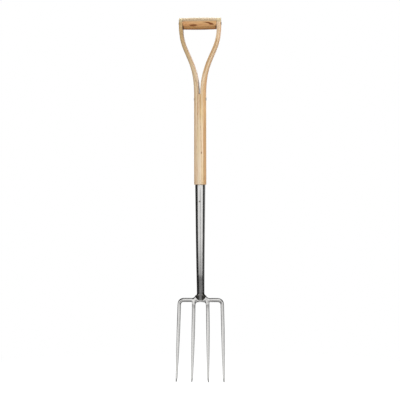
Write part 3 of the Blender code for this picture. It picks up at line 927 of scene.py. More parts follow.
    def limb(self, path: list[tuple[float, float]], splay: float) -> list[Ring]:
        """Rings along a tine's centre line.

        Args:
            path: (x, z) points of the centre line, before the splay.
            splay: how much further out the point is.

        Returns:
            A ring of eight points for each point of the path.
        """
        line = [Vector((x + splay * clamp(1 - z / self.shoulder_z), z)) for x, z in path]
        point_width = self.tine_section(self.point_length)[0]
        rings = []
        for i, spot in enumerate(line):
            way = (line[min(i + 1, len(line) - 1)] - line[max(i - 1, 0)]).normalized()
            half_width, half_depth, corner = self.tine_section(spot.y)
            lost = max(point_width - half_width, 0.0) * 2 if spot.y < self.point_length else 0.0
            x = spot.x + lost * self.point_grind
            rings.append([
                (x - way.y * across, self.centre_y(spot.y) + deep, spot.y + way.x * across)
                for across, deep in self.ring(half_width, half_depth, corner)
            ])
        return rings

    def outer_path(self) -> list[tuple[float, float]]:
        """Centre line of the outer tine, from the shoulder round the bend to the point.

        Returns:
            (x, z) points, before the splay.
        """
        bend_x = self.outer_tine_x - self.bend_radius
        bend_z = self.shoulder_z - self.bend_radius
        start = self.inner_tine_x + self.tine_width / 2 + self.inner_fillet
        path = [(lerp(start, bend_x, share), self.shoulder_z) for share in (0.0, 0.2, 0.45, 0.75)]
        for i in range(self.bend_steps):
            angle = math.radians(90) * (1 - i / self.bend_steps)
            path.append((
                bend_x + self.bend_radius * math.cos(angle), bend_z + self.bend_radius * math.sin(angle)
            ))
        return path + [(self.outer_tine_x, z) for z in self.tine_levels(bend_z)]

    def crown_column(self, x: float) -> Ring:
        """Cage points round the crown under the socket's V, at a place across it.

        Args:
            x: place across, inside the inner tine.

        Returns:
            Eight points, from the top round by the front.
        """
        inside = self.inner_tine_x - self.tine_width / 2
        edge = self.socket.v_edge_z(x)
        bow = math.sqrt(max(1 - (x / (inside * self.arch_bow)) ** 2, 0.0))
        underside = self.arch_top + self.arch_height * (bow - 1)
        lip = edge - self.lip_drop
        deep = self.crown_depth
        return self.column(x, [
            (0.0, edge + self.core_rise),
            (-deep + self.tuck_depth, edge + self.tuck_rise),
            (-deep + self.facet_lean, lip),
            (-deep, lerp(underside, lip, 0.3)),
            (0.0, underside),
        ])

    def column(self, x: float, half: list[tuple[float, float]]) -> Ring:
        """Close the front half of a ring, as (depth, z) points from top to bottom, with its back."""
        points = half + [(-deep, z) for deep, z in half[3:0:-1]]
        return [(x, self.socket.setback + deep, z) for deep, z in points]

    def tine_joint(self) -> list[Ring]:
        """The three columns over the inner tine, whose lower points are the tine's first ring.

        Returns:
            The columns at its inner side, its middle and its outer side.
        """
        deep = self.crown_depth
        left = self.inner_tine_x - self.tine_width / 2
        right = self.inner_tine_x + self.tine_width / 2
        edge = self.socket.v_edge_z(left)
        crest = self.shoulder_z + self.crest_rise
        top = self.shoulder_z + self.rod_radius
        under = self.shoulder_z - self.rod_radius
        inside = self.column(left, [
            (0.0, crest),
            (-deep + self.tuck_depth, edge + self.tuck_depth),
            (-deep + self.facet_lean, edge - self.lip_drop),
            (-deep + self.arch_lean, self.arch_end + self.arch_corner),
            (0.0, self.arch_end - self.arch_sag),
        ])
        middle = self.column(self.inner_tine_x, [
            (0.0, lerp(top, crest, 0.25)),
            (-deep + self.crest_bevel, top),
            (-deep + self.facet_lean, self.shoulder_z),
            (-deep, lerp(self.arch_end, under, 0.5)),
            (0.0, under),
        ])
        outside = self.column(right, [
            (0.0, top),
            (-deep + self.edge_bevel, top - self.edge_bevel),
            (-deep + self.facet_lean, self.shoulder_z),
            (-deep + self.edge_bevel / 2, under - self.edge_bevel / 2),
            (0.0, under),
        ])
        return [inside, middle, outside]

    def build(self, material: bpy.types.Material) -> None:
        """Skin the cage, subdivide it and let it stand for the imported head.

        Args:
            material: the head's steel.
        """
        bm = bmesh.new()
        centre = [bm.verts.new(point) for point in self.crown_column(0.0)]
        for side in Side:
            self.skin_half(bm, side, centre)
        piece = add_piece("forged_head", bm, material)
        smooth = piece.modifiers.new("forging", "SUBSURF")
        smooth.levels = self.subdivisions
        smooth.render_levels = self.subdivisions
        dress(piece, Slot.STEEL, "fork_head")

    def skin_half(self, bm: bmesh.types.BMesh, side: Side, centre: list[bmesh.types.BMVert]) -> None:
        """Skin one half of the head.

        Args:
            bm: mesh to add to.
            side: which half.
            centre: the crown's middle ring, which both halves share.
        """
        def verts(points: Ring) -> list[bmesh.types.BMVert]:
            """Vertices of a ring, mirrored to the side."""
            return [bm.verts.new((side.value * x, y, z)) for x, y, z in points]

        def grow(ring: list[bmesh.types.BMVert], rings: list) -> list[bmesh.types.BMVert]:
            """Skin on from a ring over rings of points.

            Args:
                ring: vertices of the ring to start from.
                rings: the rings of points, in order.

            Returns:
                Vertices of the last ring.
            """
            for points in rings:
                following = verts(points)
                bridge(bm, ring, following)
                ring = following
            return ring

        inside = self.inner_tine_x - self.tine_width / 2
        crown = grow(centre, [self.crown_column(inside * share) for share in self.crown_columns])
        left, middle, right = [verts(points) for points in self.tine_joint()]
        tine_faces = (3, 4)
        bridge(bm, crown, left)
        bridge(bm, left, middle, tine_faces)
        bridge(bm, middle, right, tine_faces)
        bm.verts.remove(middle[4])
        bm.faces.new(grow(right, self.limb(self.outer_path(), self.outer_splay)))

        root = [right[4], right[3], middle[3], left[3], left[4], left[5], middle[5], right[5]]
        levels = [self.arch_end - self.root_gap] + self.tine_levels(self.arch_end - self.root_length)
        inner = self.limb([(self.inner_tine_x, z) for z in levels], self.inner_splay)
        bm.faces.new(grow(root, [self.with_slant(self.with_facet(points)) for points in inner]))

    def with_slant(self, points: Ring) -> Ring:
        """Lift a ring's outer side near the crown, as the tine leaves a shoulder higher than the arch.

        Args:
            points: the ring.

        Returns:
            The lifted ring.
        """
        share = ease(1 - (self.arch_end - points[2][2]) / self.slant_length)
        half = self.tine_width / 2
        left = points[2][0] - half
        return [(x, y, z + self.root_slant * share * (x - left) / half / 2) for x, y, z in points]

    def with_facet(self, points: Ring) -> Ring:
        """Push a ring's front and back corners out near the crown, where the tine has a flat facet.

        Args:
            points: the ring.

        Returns:
            The ring with its facet.
        """
        z = points[2][2]
        share = ease((z - self.facet_z) / (self.facet_reach - self.facet_start))
        if share == 0.0:
            return points
        middle_x = points[2][0]
        middle_y = self.centre_y(z)
        flat = self.ring(
            self.tine_width / 2, lerp(self.tine_depth / 2, self.crown_depth, share), self.facet_corner
        )
        return [
            (lerp(x, middle_x + across, share), lerp(y, middle_y + deep, share), height)
            for (x, y, height), (across, deep) in zip(points, flat)
        ]


@dataclass
class Socket:
    """The tapered steel tube, its foot flared and pressed to a blunt V over the crown."""

    form: SocketForm
    sides: int = 96
    level_steps: tuple[int, ...] = (6, 24, 12)      # rings down to the crank, the flare and its foot
    rim_rounding: float = 0.0005
    lip_rounding: float = 0.0007
    dark_rise: float = 0.0040       # above the flare, where the painted dark reflection ends
    dark_fade: float = 0.0045       # height over which it fades in
    bright_middle: float = 0.0020    # half width of the V's middle, which has least of it
    wing_fade: float = 0.0035       # how far beside that the wings have all of it
    least_dark: float = 0.12

    def ring(self, z: float, inset: float, drop: float = 0.0) -> Ring:
        """Ring of the wall.

        Args:
            z: height, which sets the section.
            inset: how far inside the outer face.
            drop: how far the ring is let down towards the V's edge, for those below the flare.

        Returns:
            Points round the ring.
        """
        half_width, _, squareness = self.form.section(z)
        power = 2 / squareness
        points = []
        for i in range(self.sides):
            angle = 2 * math.pi * i / self.sides
            c, s = math.cos(angle), math.sin(angle)
            wide, deep = math.copysign(abs(c) ** power, c), math.copysign(abs(s) ** power, s)
            height = lerp(z, self.form.v_edge_z(wide * half_width), drop)
            half_depth = self.form.section(height)[1]
            points.append((
                wide * (half_width - inset), self.form.centre_y(height) + deep * (half_depth - inset), height
            ))
        return points

    def profile(self) -> list[Ring]:
        """Section of the tube's wall, as rings.

        Returns:
            Rings from the mouth down the outside, round the V's lip and up inside.
        """
        form = self.form
        rounding = self.rim_rounding
        rings = [self.ring(form.top_z, form.wall), self.ring(form.top_z, rounding)]
        for degrees in (30, 60, 90):
            angle = math.radians(degrees)
            rings.append(self.ring(
                form.top_z - rounding * (1 - math.cos(angle)), rounding * (1 - math.sin(angle))
            ))
        foot = form.flare_foot_z
        levels = (form.top_z, form.crank_top_z, form.flare_top_z, foot)
        for high, low, steps in zip(levels, levels[1:], self.level_steps):
            rings += [self.ring(lerp(high, low, i / steps), 0.0) for i in range(1, steps + 1)]
        rings += [self.ring(foot, 0.0, drop) for drop in (0.15, 0.3, 0.45, 0.6, 0.75, 0.9)]
        for degrees in (0, 30, 60, 90):
            angle = math.radians(degrees)
            ring = self.ring(foot, self.lip_rounding * (1 - math.cos(angle)), 1.0)
            lift = self.lip_rounding * (1 - math.sin(angle))
            rings.append([(x, y, z + lift) for x, y, z in ring])
        rings.append(self.ring(foot, form.wall, 1.0))
        rings.append(self.ring(foot, form.wall, 0.0))
        rings.append(self.ring(form.flare_top_z, form.wall))
        return rings

    def painted_dark_at(self, point: Vector) -> float:
        """How much painted dark reflection darkens the steel: most on the V's two wings, less on its middle.

        Args:
            point: place on the socket.

        Returns:
            Share of the full tint.
        """
        below = ease((self.form.flare_top_z + self.dark_rise - point.z) / self.dark_fade)
        beside = ease((abs(point.x) - self.bright_middle) / self.wing_fade)
        return below * lerp(self.least_dark, 1.0, beside)

    def build(self, material: bpy.types.Material) -> None:
        """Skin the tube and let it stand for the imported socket.

        Args:
            material: the socket's steel.
        """
        bm = bmesh.new()
        loops = [[bm.verts.new(point) for point in ring] for ring in self.profile()]
        for ring, following in zip(loops, loops[1:] + loops[:1]):
            bridge(bm, ring, following)
        piece = add_piece("steel_socket", bm, material)
        piece.data.set_sharp_from_angle(angle=math.radians(50))
        # Painted dark reflection on the V's wings and on the flare above them, which also hides the flare's
        # glints.
        tint = piece.data.attributes.new(PAINTED_DARK_REFLECTION, "FLOAT", "POINT")
        for point, value in zip(piece.data.vertices, tint.data):
            value.value = self.painted_dark_at(point.co)
        dress(piece, Slot.STEEL, "socket")


@dataclass
class AshShaft:
    """The ash pole, split at its top and steamed apart into two arms."""

    socket: SocketForm
    foot_diameter: float = 0.0337
    split_diameter: float = 0.0334
    foot_rounding: float = 0.0015
    tenon_length: float = 0.1300
    tenon_gap: float = 0.0003
    slot_width: float = 0.0044
    split_drop: float = 0.1933      # foot of the split below the grip's middle
    arm_rise: float = 0.1790
    lower_pull: float = 0.0975      # how long an arm's curve keeps its way at its foot, and at its top
    upper_pull: float = 0.0658
    arm_thickness: float = 0.0108   # beside the grip
    arm_boss: float = 0.0008        # of that, on the outer side, which an arm has only beside the grip
    boss_length: float = 0.0120
    arm_thinning: float = 0.4       # below 1, an arm thins soonest at its foot
    arm_depth: float = 0.0315
    arm_squareness: float = 3.6
    section_change: float = 0.35    # of the arm, where its section has become a bar's
    edge_rounding: float = 0.0007
    arm_steps: int = 56
    half_points: int = 31
    pole_steps: int = 10

    def __post_init__(self) -> None:
        """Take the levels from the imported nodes."""
        grip_low, grip_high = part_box("grip")
        self.grip_z = (grip_low.z + grip_high.z) / 2
        self.foot_z = self.socket.top_z + self.tenon_gap
        self.split_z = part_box("fork_head")[0].z + self.grip_z - self.split_drop
        self.outer_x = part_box("shaft")[1].x

    def half_angles(self) -> list[float]:
        """Angles of the points on one half of the pole, from the slot's front edge to its back edge."""
        limit = math.acos(self.slot_width / self.split_diameter)
        return [lerp(-limit, limit, i / (self.half_points - 1)) for i in range(self.half_points)]

    def pole_ring(self, radius: float, z: float) -> Ring:
        """Ring of the round pole: its right half and then its left half.

        Args:
            radius: radius of the ring.
            z: its height.

        Returns:
            The ring's points.
        """
        right = [(radius * math.cos(a), radius * math.sin(a)) for a in self.half_angles()]
        left = [(-x, y) for x, y in reversed(right)]
        return [(x, y + self.socket.centre_y(z), z) for x, y in right + left]

    def pole_rings(self) -> list[Ring]:
        """Rings of the tenon, the rounded shoulder and the pole up to the split.

        Returns:
            The rings, from the tenon's foot up.
        """
        form = self.socket
        inset = form.wall + self.tenon_gap
        foot = self.foot_z - self.tenon_length
        radius = self.foot_diameter / 2
        rings = [
            self.pole_ring(form.radius(foot) - inset, foot),
            self.pole_ring(form.radius(self.foot_z) - inset, self.foot_z),
        ]
        for i in range(6):
            angle = math.radians(18 * i)
            rings.append(self.pole_ring(
                radius - self.foot_rounding * (1 - math.sin(angle)),
                self.foot_z + self.foot_rounding * (1 - math.cos(angle)),
            ))
        for i in range(1, self.pole_steps + 1):
            share = i / self.pole_steps
            rings.append(self.pole_ring(
                lerp(radius, self.split_diameter / 2, share),
                lerp(self.foot_z + self.foot_rounding, self.split_z, share),
            ))
        return rings

    def arm_section(self, share: float, thickness: float, depth: float) -> list[tuple[float, float]]:
        """Section of an arm: flat inside, rounded outside.

        Args:
            share: how far up the arm.
            thickness: size across.
            depth: size front to back.

        Returns:
            (outward, back) points about the section's middle.
        """
        radius = self.split_diameter / 2
        flat_x = self.slot_width / 2
        angles = self.half_angles()
        change = ease(share / self.section_change)
        power = 2 / self.arm_squareness
        points = []
        for angle in angles:
            round_x = radius * math.cos(angle) - (radius + flat_x) / 2
            round_y = radius * math.sin(angle)
            turn = angle * math.radians(90) / angles[-1]
            bar_x = thickness * abs(math.cos(turn)) ** power - thickness / 2
            bar_y = depth / 2 * math.copysign(abs(math.sin(turn)) ** power, turn)
            points.append((lerp(round_x, bar_x, change), lerp(round_y, bar_y, change)))
        points.append((points[-1][0], 0.0))
        return points

    def arm_rings(self) -> list[tuple[Ring, Ring]]:
        """Rings of the right arm.

        Returns:
            Each ring, with the places that its points have in the straight, unbent pole.
        """
        foot_x = (self.split_diameter + self.slot_width) / 4
        bar_thickness = self.arm_thickness - self.arm_boss
        top_x = self.outer_x - self.arm_boss - bar_thickness / 2
        arm_top = self.split_z + self.arm_rise
        line = interpolate_bezier(
            Vector((foot_x, 0, self.split_z)),
            Vector((foot_x, 0, self.split_z + self.lower_pull)),
            Vector((top_x, 0, arm_top - self.upper_pull)),
            Vector((top_x, 0, arm_top)),
            self.arm_steps + 1,
        )
        split_thickness = (self.split_diameter - self.slot_width) / 2
        split_depth = math.sqrt(self.split_diameter ** 2 - self.slot_width ** 2)
        rings = []
        length = self.split_z
        for i in range(1, len(line)):
            share = i / (len(line) - 1)
            length += (line[i] - line[i - 1]).length
            way = (line[min(i + 1, len(line) - 1)] - line[i - 1]).normalized()
            boss = self.arm_boss * ease(1 - (arm_top - line[i].z) / self.boss_length)
            thickness = lerp(split_thickness, bar_thickness, share ** self.arm_thinning) + boss
            section = [
                (out + boss / 2, deep)
                for out, deep in self.arm_section(share, thickness, lerp(split_depth, self.arm_depth, share))
            ]
            rings.append((
                [(line[i].x + way.z * out, deep, line[i].z - way.x * out) for out, deep in section],
                [(foot_x + out, deep, length) for out, deep in section],
            ))
        half = self.arm_depth / 2
        for degrees in (0, 10, 20, 30, 40, 50, 60, 69, 77, 83, 87):
            turn = math.radians(degrees)
            section = self.arm_section(1.0, self.arm_thickness, self.arm_depth * math.cos(turn))
            rise = half * math.sin(turn)
            rings.append((
                [(top_x + self.arm_boss / 2 + out, deep, self.grip_z + rise) for out, deep in section],
                [(foot_x + out, deep, length + self.grip_z - arm_top + rise) for out, deep in section],
            ))
        return rings

    def skin(self) -> bmesh.types.BMesh:
        """Mesh of the whole shaft.

        Returns:
            The skin, each point keeping its place in the unbent wood.
        """
        bm = bmesh.new()
        grain = bm.verts.layers.float_vector.new(GRAIN_SPACE)

        def verts(points: list, straight: list, side: int = 1) -> list[bmesh.types.BMVert]:
            """Vertices of a ring.

            Args:
                points: places of its points.
                straight: their places in the straight wood.
                side: the arm's side, as the sign of x.

            Returns:
                The new vertices.
            """
            made = []
            for (x, y, z), (gx, gy, gz) in zip(points, straight):
                vert = bm.verts.new((side * x, y, z))
                vert[grain] = (side * gx, gy, gz)
                made.append(vert)
            return made

        rings = [verts(ring, ring) for ring in self.pole_rings()]
        bm.faces.new(rings[0])
        for ring, following in zip(rings, rings[1:]):
            bridge(bm, ring, following)
        right_half = rings[-1][:self.half_points]
        left_half = rings[-1][self.half_points:][::-1]
        floor = [(self.slot_width / 2, 0.0, self.split_z), (-self.slot_width / 2, 0.0, self.split_z)]
        right_middle, left_middle = verts(floor, floor)
        bm.faces.new((right_half[-1], right_middle, left_middle, left_half[-1]))
        bm.faces.new((right_middle, right_half[0], left_half[0], left_middle))
        roots = {Side.RIGHT: right_half + [right_middle], Side.LEFT: left_half + [left_middle]}
        for side, ring in roots.items():
            for points, straight in self.arm_rings():
                following = verts(points, straight, side.value)
                bridge(bm, ring, following)
                ring = following
            bm.faces.new(ring)
        return bm

    def build(self, material: bpy.types.Material, fasteners: "Fasteners") -> None:
        """Skin the shaft, ease its sawn edges, cut the rivets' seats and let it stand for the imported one.

        Args:
            material: the wood.
            fasteners: the rivets and washers that it is cut for.
        """
        piece = add_piece("ash_shaft", self.skin(), material)
        ease_edges = piece.modifiers.new("eased_edges", "BEVEL")
        ease_edges.limit_method = "ANGLE"
        ease_edges.angle_limit = math.radians(50)
        ease_edges.width = self.edge_rounding
        ease_edges.segments = 3
        cutters = fasteners.cutters(self)
        for cutter in cutters:
            cut = piece.modifiers.new(cutter.name, "BOOLEAN")
            cut.operation = "DIFFERENCE"
            cut.solver = "EXACT"
            cut.object = cutter
        settle(piece)
        for cutter in cutters:
            bpy.data.objects.remove(cutter, do_unlink=True)
        piece.data.set_sharp_from_angle(angle=math.radians(38))
        dress(piece, Slot.ASH, "shaft")


@dataclass
class HandGrip:
    """The turned barrel between the arms, fuller in its middle, with a stub tenon at each end."""

    length: float = 0.0938
    diameter: float = 0.0337
    end_diameter: float = 0.0318
    edge_rounding: float = 0.0013
    stub_diameter: float = 0.0200

    def recipe(self, material: bpy.types.Material) -> Recipe:
        """Tree that turns the barrel: a line along x whose radius follows the barrel's rule.

        Args:
            material: the grip's wood.

        Returns:
            The finished tree.
        """
        recipe = Recipe("turned_barrel")
        half = recipe.size("Half Length")
        middle = recipe.size("Middle Radius")
        end = recipe.size("End Radius")
        rounding = recipe.size("Edge Rounding")
        stub = recipe.size("Stub Radius")
        stub_end = recipe.size("Stub End")
        height = recipe.size("Height")

        line = recipe.add("GeometryNodeCurvePrimitiveLine", {"Start": (-1, 0, 0), "End": (1, 0, 0)})
        points = recipe.add("GeometryNodeResampleCurve", {0: line, "Count": 121})
        spot = recipe.add("ShaderNodeSeparateXYZ", {0: recipe.add("GeometryNodeInputPosition")})
        quarter = recipe.add("ShaderNodeMath", {0: spot.outputs[0], 1: math.pi / 2}, operation="MULTIPLY")
        spread = recipe.add("ShaderNodeMath", {0: quarter}, operation="SINE")
        place = recipe.add("ShaderNodeMath", {0: spread, 1: half}, operation="MULTIPLY")
        moved = recipe.add("GeometryNodeSetPosition", {
            0: points, "Position": recipe.add("ShaderNodeCombineXYZ", {0: place}),
        })

        now = recipe.add("ShaderNodeSeparateXYZ", {0: recipe.add("GeometryNodeInputPosition")})
        out = recipe.add("ShaderNodeMath", {0: now.outputs[0]}, operation="ABSOLUTE")
        share = recipe.add("ShaderNodeMath", {0: out, 1: half}, operation="DIVIDE")
        square = recipe.add("ShaderNodeMath", {0: share, 1: share}, operation="MULTIPLY")
        belly = recipe.add("ShaderNodeMix", {0: square, 2: middle, 3: end}, data_type="FLOAT")
        start = recipe.add("ShaderNodeMath", {0: half, 1: rounding}, operation="SUBTRACT")
        beyond = recipe.add("ShaderNodeMath", {0: out, 1: start}, operation="SUBTRACT")
        turn = recipe.add("ShaderNodeMath", {0: beyond, 1: rounding}, operation="DIVIDE", use_clamp=True)
        lost = recipe.add("ShaderNodeMath", {0: 1.0, 1: recipe.dome(turn)}, operation="SUBTRACT")
        drop = recipe.add("ShaderNodeMath", {0: lost, 1: rounding}, operation="MULTIPLY")
        radius = recipe.add("ShaderNodeMath", {0: belly, 1: drop}, operation="SUBTRACT")
        circle = recipe.add("GeometryNodeCurvePrimitiveCircle", {"Resolution": 96, "Radius": 1.0})
        barrel = recipe.add("GeometryNodeCurveToMesh", {
            0: moved, 1: circle, "Scale": radius, "Fill Caps": True,
        })

        joined = recipe.add("GeometryNodeJoinGeometry", {0: [barrel, recipe.pin(48, stub, stub_end)]})
        lifted = recipe.add("GeometryNodeTransform", {
            0: joined, "Translation": recipe.add("ShaderNodeCombineXYZ", {2: height}),
        })
        recipe.finish(lifted, material)
        return recipe

    def build(self, material: bpy.types.Material) -> None:
        """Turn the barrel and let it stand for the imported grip.

        Args:
            material: the grip's wood.
        """
        low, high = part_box("grip")
        piece = self.recipe(material).make("turned_grip", {
            "Half Length": self.length / 2,
            "Middle Radius": self.diameter / 2,
            "End Radius": self.end_diameter / 2,
            "Edge Rounding": self.edge_rounding,
            "Stub Radius": self.stub_diameter / 2,
            "Stub End": high.x,
            "Height": (low.z + high.z) / 2,
        })
        dress(piece, Slot.GRIP, "grip")


@dataclass
class Fasteners:
    """The three rivets and four washers that hold the fork together."""

    stub_diameter: float            # of the grip's stub tenons, which the arms are bored for
    shank_diameter: float = 0.0060
    head_diameter: float = 0.0088
    head_height: float = 0.0008
    washer_diameter: float = 0.0110
    washer_thickness: float = 0.0012
    washer_softness: float = 0.0002 # rounding of a washer's edges
    seat_gap: float = 0.0003
    stub_length: float = 0.0040     # of the grip's stub tenon inside an arm
    cut_overrun: float = 0.0030     # how far a cutter stands out of what it cuts
    flush_diameter: float = 0.0050
    flush_edge: float = 0.0004
    flush_dome: float = 0.0003
    round_sides: int = 56

    def __post_init__(self) -> None:
        """Take the washers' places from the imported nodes."""
        self.grip_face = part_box("grip_washer_right")[1].x
        self.split_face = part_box("split_washer_right")[1].x
        self.grip_z = self.middle("grip_rivet").z
        self.split_z = self.middle("split_rivet").z

    def middle(self, node: str) -> Vector:
        """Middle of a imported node's box."""
        low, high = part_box(node)
        return (low + high) / 2

    def rivet_recipe(self, material: bpy.types.Material) -> Recipe:
        """Tree of a rivet along x: a shank with a low dome instanced at each end.

        Args:
            material: the rivet's steel.

        Returns:
            The finished tree.
        """
        recipe = Recipe("headed_rivet")
        reach = recipe.size("Reach")
        shank = recipe.size("Shank Radius")
        head = recipe.size("Head Radius")
        edge = recipe.size("Head Edge")
        dome = recipe.size("Dome Height")
        turn = recipe.size("Turn")
        back = recipe.size("Depth Place")
        height = recipe.size("Height Place")

        blank = recipe.add("GeometryNodeMeshCylinder", {
            "Vertices": 48, "Side Segments": 1, "Fill Segments": 7, "Radius": head, "Depth": edge,
        })
        spot = recipe.add("GeometryNodeInputPosition")
        level = recipe.add("ShaderNodeVectorMath", {0: spot, 1: (1, 1, 0)}, operation="MULTIPLY")
        out = recipe.add("ShaderNodeVectorMath", {0: level}, operation="LENGTH").outputs["Value"]
        share = recipe.add("ShaderNodeMath", {0: out, 1: head}, operation="DIVIDE")
        rise = recipe.add("ShaderNodeMath", {0: recipe.dome(share), 1: dome}, operation="MULTIPLY")
        top = recipe.add("ShaderNodeMath", {
            0: recipe.add("ShaderNodeSeparateXYZ", {0: spot}).outputs[2], 1: 0.0,
        }, operation="GREATER_THAN")
        domed = recipe.add("GeometryNodeSetPosition", {
            0: blank.outputs["Mesh"], "Selection": top,
            "Offset": recipe.add("ShaderNodeCombineXYZ", {2: rise}),
        })

        angle = recipe.add("ShaderNodeMath", {
            0: recipe.add("GeometryNodeInputIndex"), 1: math.pi, 2: -math.pi / 2,
        }, operation="MULTIPLY_ADD")
        facing = recipe.add("FunctionNodeEulerToRotation", {
            0: recipe.add("ShaderNodeCombineXYZ", {1: angle}),
        })
        heads = recipe.add("GeometryNodeInstanceOnPoints", {
            "Points": recipe.both_ends(reach), "Instance": domed, "Rotation": facing,
        })
        joined = recipe.add("GeometryNodeJoinGeometry", {0: [heads, recipe.pin(32, shank, reach)]})
        placed = recipe.add("GeometryNodeTransform", {
            0: joined,
            "Rotation": recipe.add("FunctionNodeEulerToRotation", {
                0: recipe.add("ShaderNodeCombineXYZ", {2: turn}),
            }),
            "Translation": recipe.add("ShaderNodeCombineXYZ", {1: back, 2: height}),
        })
        recipe.finish(placed, material)
        return recipe

    def washer_recipe(self, material: bpy.types.Material) -> Recipe:
        """Tree of a pair of washers, facing each other along x.

        Args:
            material: their steel.

        Returns:
            The finished tree.
        """
        recipe = Recipe("washer_pair")
        face = recipe.size("Outer Face")
        bore = recipe.size("Bore Radius")
        rim = recipe.size("Rim Radius")
        thickness = recipe.size("Thickness")
        height = recipe.size("Height Place")

        both = recipe.add("ShaderNodeMath", {0: bore, 1: rim}, operation="ADD")
        middle = recipe.add("ShaderNodeMath", {0: both, 1: 2.0}, operation="DIVIDE")
        width = recipe.add("ShaderNodeMath", {0: rim, 1: bore}, operation="SUBTRACT")
        path = recipe.add("GeometryNodeCurvePrimitiveCircle", {
            "Resolution": self.round_sides, "Radius": middle,
        })
        section = recipe.add("GeometryNodeCurvePrimitiveQuadrilateral", {"Width": width, "Height": thickness})
        soft = recipe.add("GeometryNodeFilletCurve", {
            "Curve": section, "Radius": self.washer_softness, "Count": 2,
        }, mode="POLY")
        ring = recipe.add("GeometryNodeCurveToMesh", {0: path, 1: soft})
        half = recipe.add("ShaderNodeMath", {0: thickness, 1: 2.0}, operation="DIVIDE")
        reach = recipe.add("ShaderNodeMath", {0: face, 1: half}, operation="SUBTRACT")
        pair = recipe.add("GeometryNodeInstanceOnPoints", {
            "Points": recipe.both_ends(reach), "Instance": ring,
            "Rotation": recipe.add("FunctionNodeEulerToRotation", {0: (0, math.radians(90), 0)}),
        })
        placed = recipe.add("GeometryNodeTransform", {
            0: pair, "Translation": recipe.add("ShaderNodeCombineXYZ", {2: height}),
        })
        recipe.finish(placed, material)
        return recipe

    def cutters(self, shaft: AshShaft) -> list[bpy.types.Object]:
        """Solids that cut the bores and the washers' seats out of the shaft.

        Args:
            shaft: the shaft that they cut.

        Returns:
            Cutter objects, to be removed after use.
        """
        shank = self.shank_diameter / 2 + self.seat_gap
        washer = self.washer_diameter / 2 + self.seat_gap
        stub = self.stub_diameter / 2 + self.seat_gap
        inner = shaft.outer_x - shaft.arm_thickness
        mortise = inner + self.stub_length + self.seat_gap
        arm_seat = self.grip_face - self.washer_thickness - self.seat_gap
        split_seat = self.split_face - self.washer_thickness - self.seat_gap
        beyond = self.grip_face + self.cut_overrun
        arm = [
            (stub, inner - self.cut_overrun), (stub, mortise), (shank, mortise),
            (shank, arm_seat), (washer, arm_seat), (washer, beyond),
        ]
        half = [(shank, split_seat), (washer, split_seat), (washer, shaft.foot_diameter)]
        split = [(radius, -x) for radius, x in reversed(half)] + half
        made = [
            self.cutter(f"arm_bore_{side.name.lower()}", [(r, side.value * x) for r, x in arm], self.grip_z)
            for side in Side
        ]
        return made + [self.cutter("split_bore", split, self.split_z)]

    def cutter(self, name: str, profile: list[tuple[float, float]], z: float) -> bpy.types.Object:
        """Turn a profile round a line along x.

        Args:
            name: name of the cutter.
            profile: (radius, x) points.
            z: height of the line.

        Returns:
            The cutter object.
        """
        turns = [2 * math.pi * i / self.round_sides for i in range(self.round_sides)]
        bm = bmesh.new()
        loops = [
            [bm.verts.new((x, radius * math.cos(turn), z + radius * math.sin(turn))) for turn in turns]
            for radius, x in profile
        ]
        for ring, following in zip(loops, loops[1:]):
            bridge(bm, ring, following)
        bm.faces.new(loops[0])
        bm.faces.new(loops[-1])
        return add_object(name, outward_mesh(name, bm))

    def build(self, material: bpy.types.Material) -> None:
        """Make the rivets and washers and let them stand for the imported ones.

        Args:
            material: their steel.
        """
        rivet = self.rivet_recipe(material)
        edge = self.head_height * 0.7
        sets = (("grip", self.grip_face, self.grip_z), ("split", self.split_face, self.split_z))
        for name, face, z in sets:
            piece = rivet.make(f"{name}_rivet_peened", {
                "Reach": face + self.seat_gap, "Shank Radius": self.shank_diameter / 2,
                "Head Radius": self.head_diameter / 2, "Head Edge": edge,
                "Dome Height": self.head_height - edge / 2, "Turn": 0.0,
                "Depth Place": 0.0, "Height Place": z,
            })
            dress(piece, Slot.RIVET, f"{name}_rivet")
        low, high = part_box("socket_rivet")
        piece = rivet.make("socket_rivet_flush", {
            "Reach": (high.y - low.y) / 2 - self.flush_dome,
            "Shank Radius": self.flush_diameter / 2 - self.seat_gap,
            "Head Radius": self.flush_diameter / 2, "Head Edge": self.flush_edge,
            "Dome Height": self.flush_dome, "Turn": math.radians(90),
            "Depth Place": (high.y + low.y) / 2, "Height Place": (high.z + low.z) / 2,
        })
        dress(piece, Slot.RIVET, "socket_rivet")
        washers = self.washer_recipe(material)
        for name, face, z in sets:
            piece = washers.make(f"{name}_washers_let_in", {
                "Outer Face": face, "Bore Radius": self.shank_diameter / 2 + self.seat_gap,
                "Rim Radius": self.washer_diameter / 2, "Thickness": self.washer_thickness,
                "Height Place": z,
            })
            dress(piece, Slot.RIVET, f"{name}_washer_left", f"{name}_washer_right")


@dataclass(frozen=True)
class Softbox:
    """A soft lamp that faces a point on the fork's axis, and that the steel doesn't mirror."""

    name: str
    place: Point
    target_z: float
    size: tuple[float, float]
    power: float                    # watts

    def light(self) -> None:
        """Put the lamp into the scene."""
        data = bpy.data.lights.new(self.name, "AREA")
        data.shape = "RECTANGLE"
        data.size, data.size_y = self.size
        data.energy = self.power
        lamp = add_object(self.name, data)
        lamp.location = self.place
        way = Vector((0.0, 0.0, self.target_z)) - Vector(self.place)
        lamp.rotation_euler = way.to_track_quat("-Z", "Y").to_euler()
        lamp.visible_glossy = False


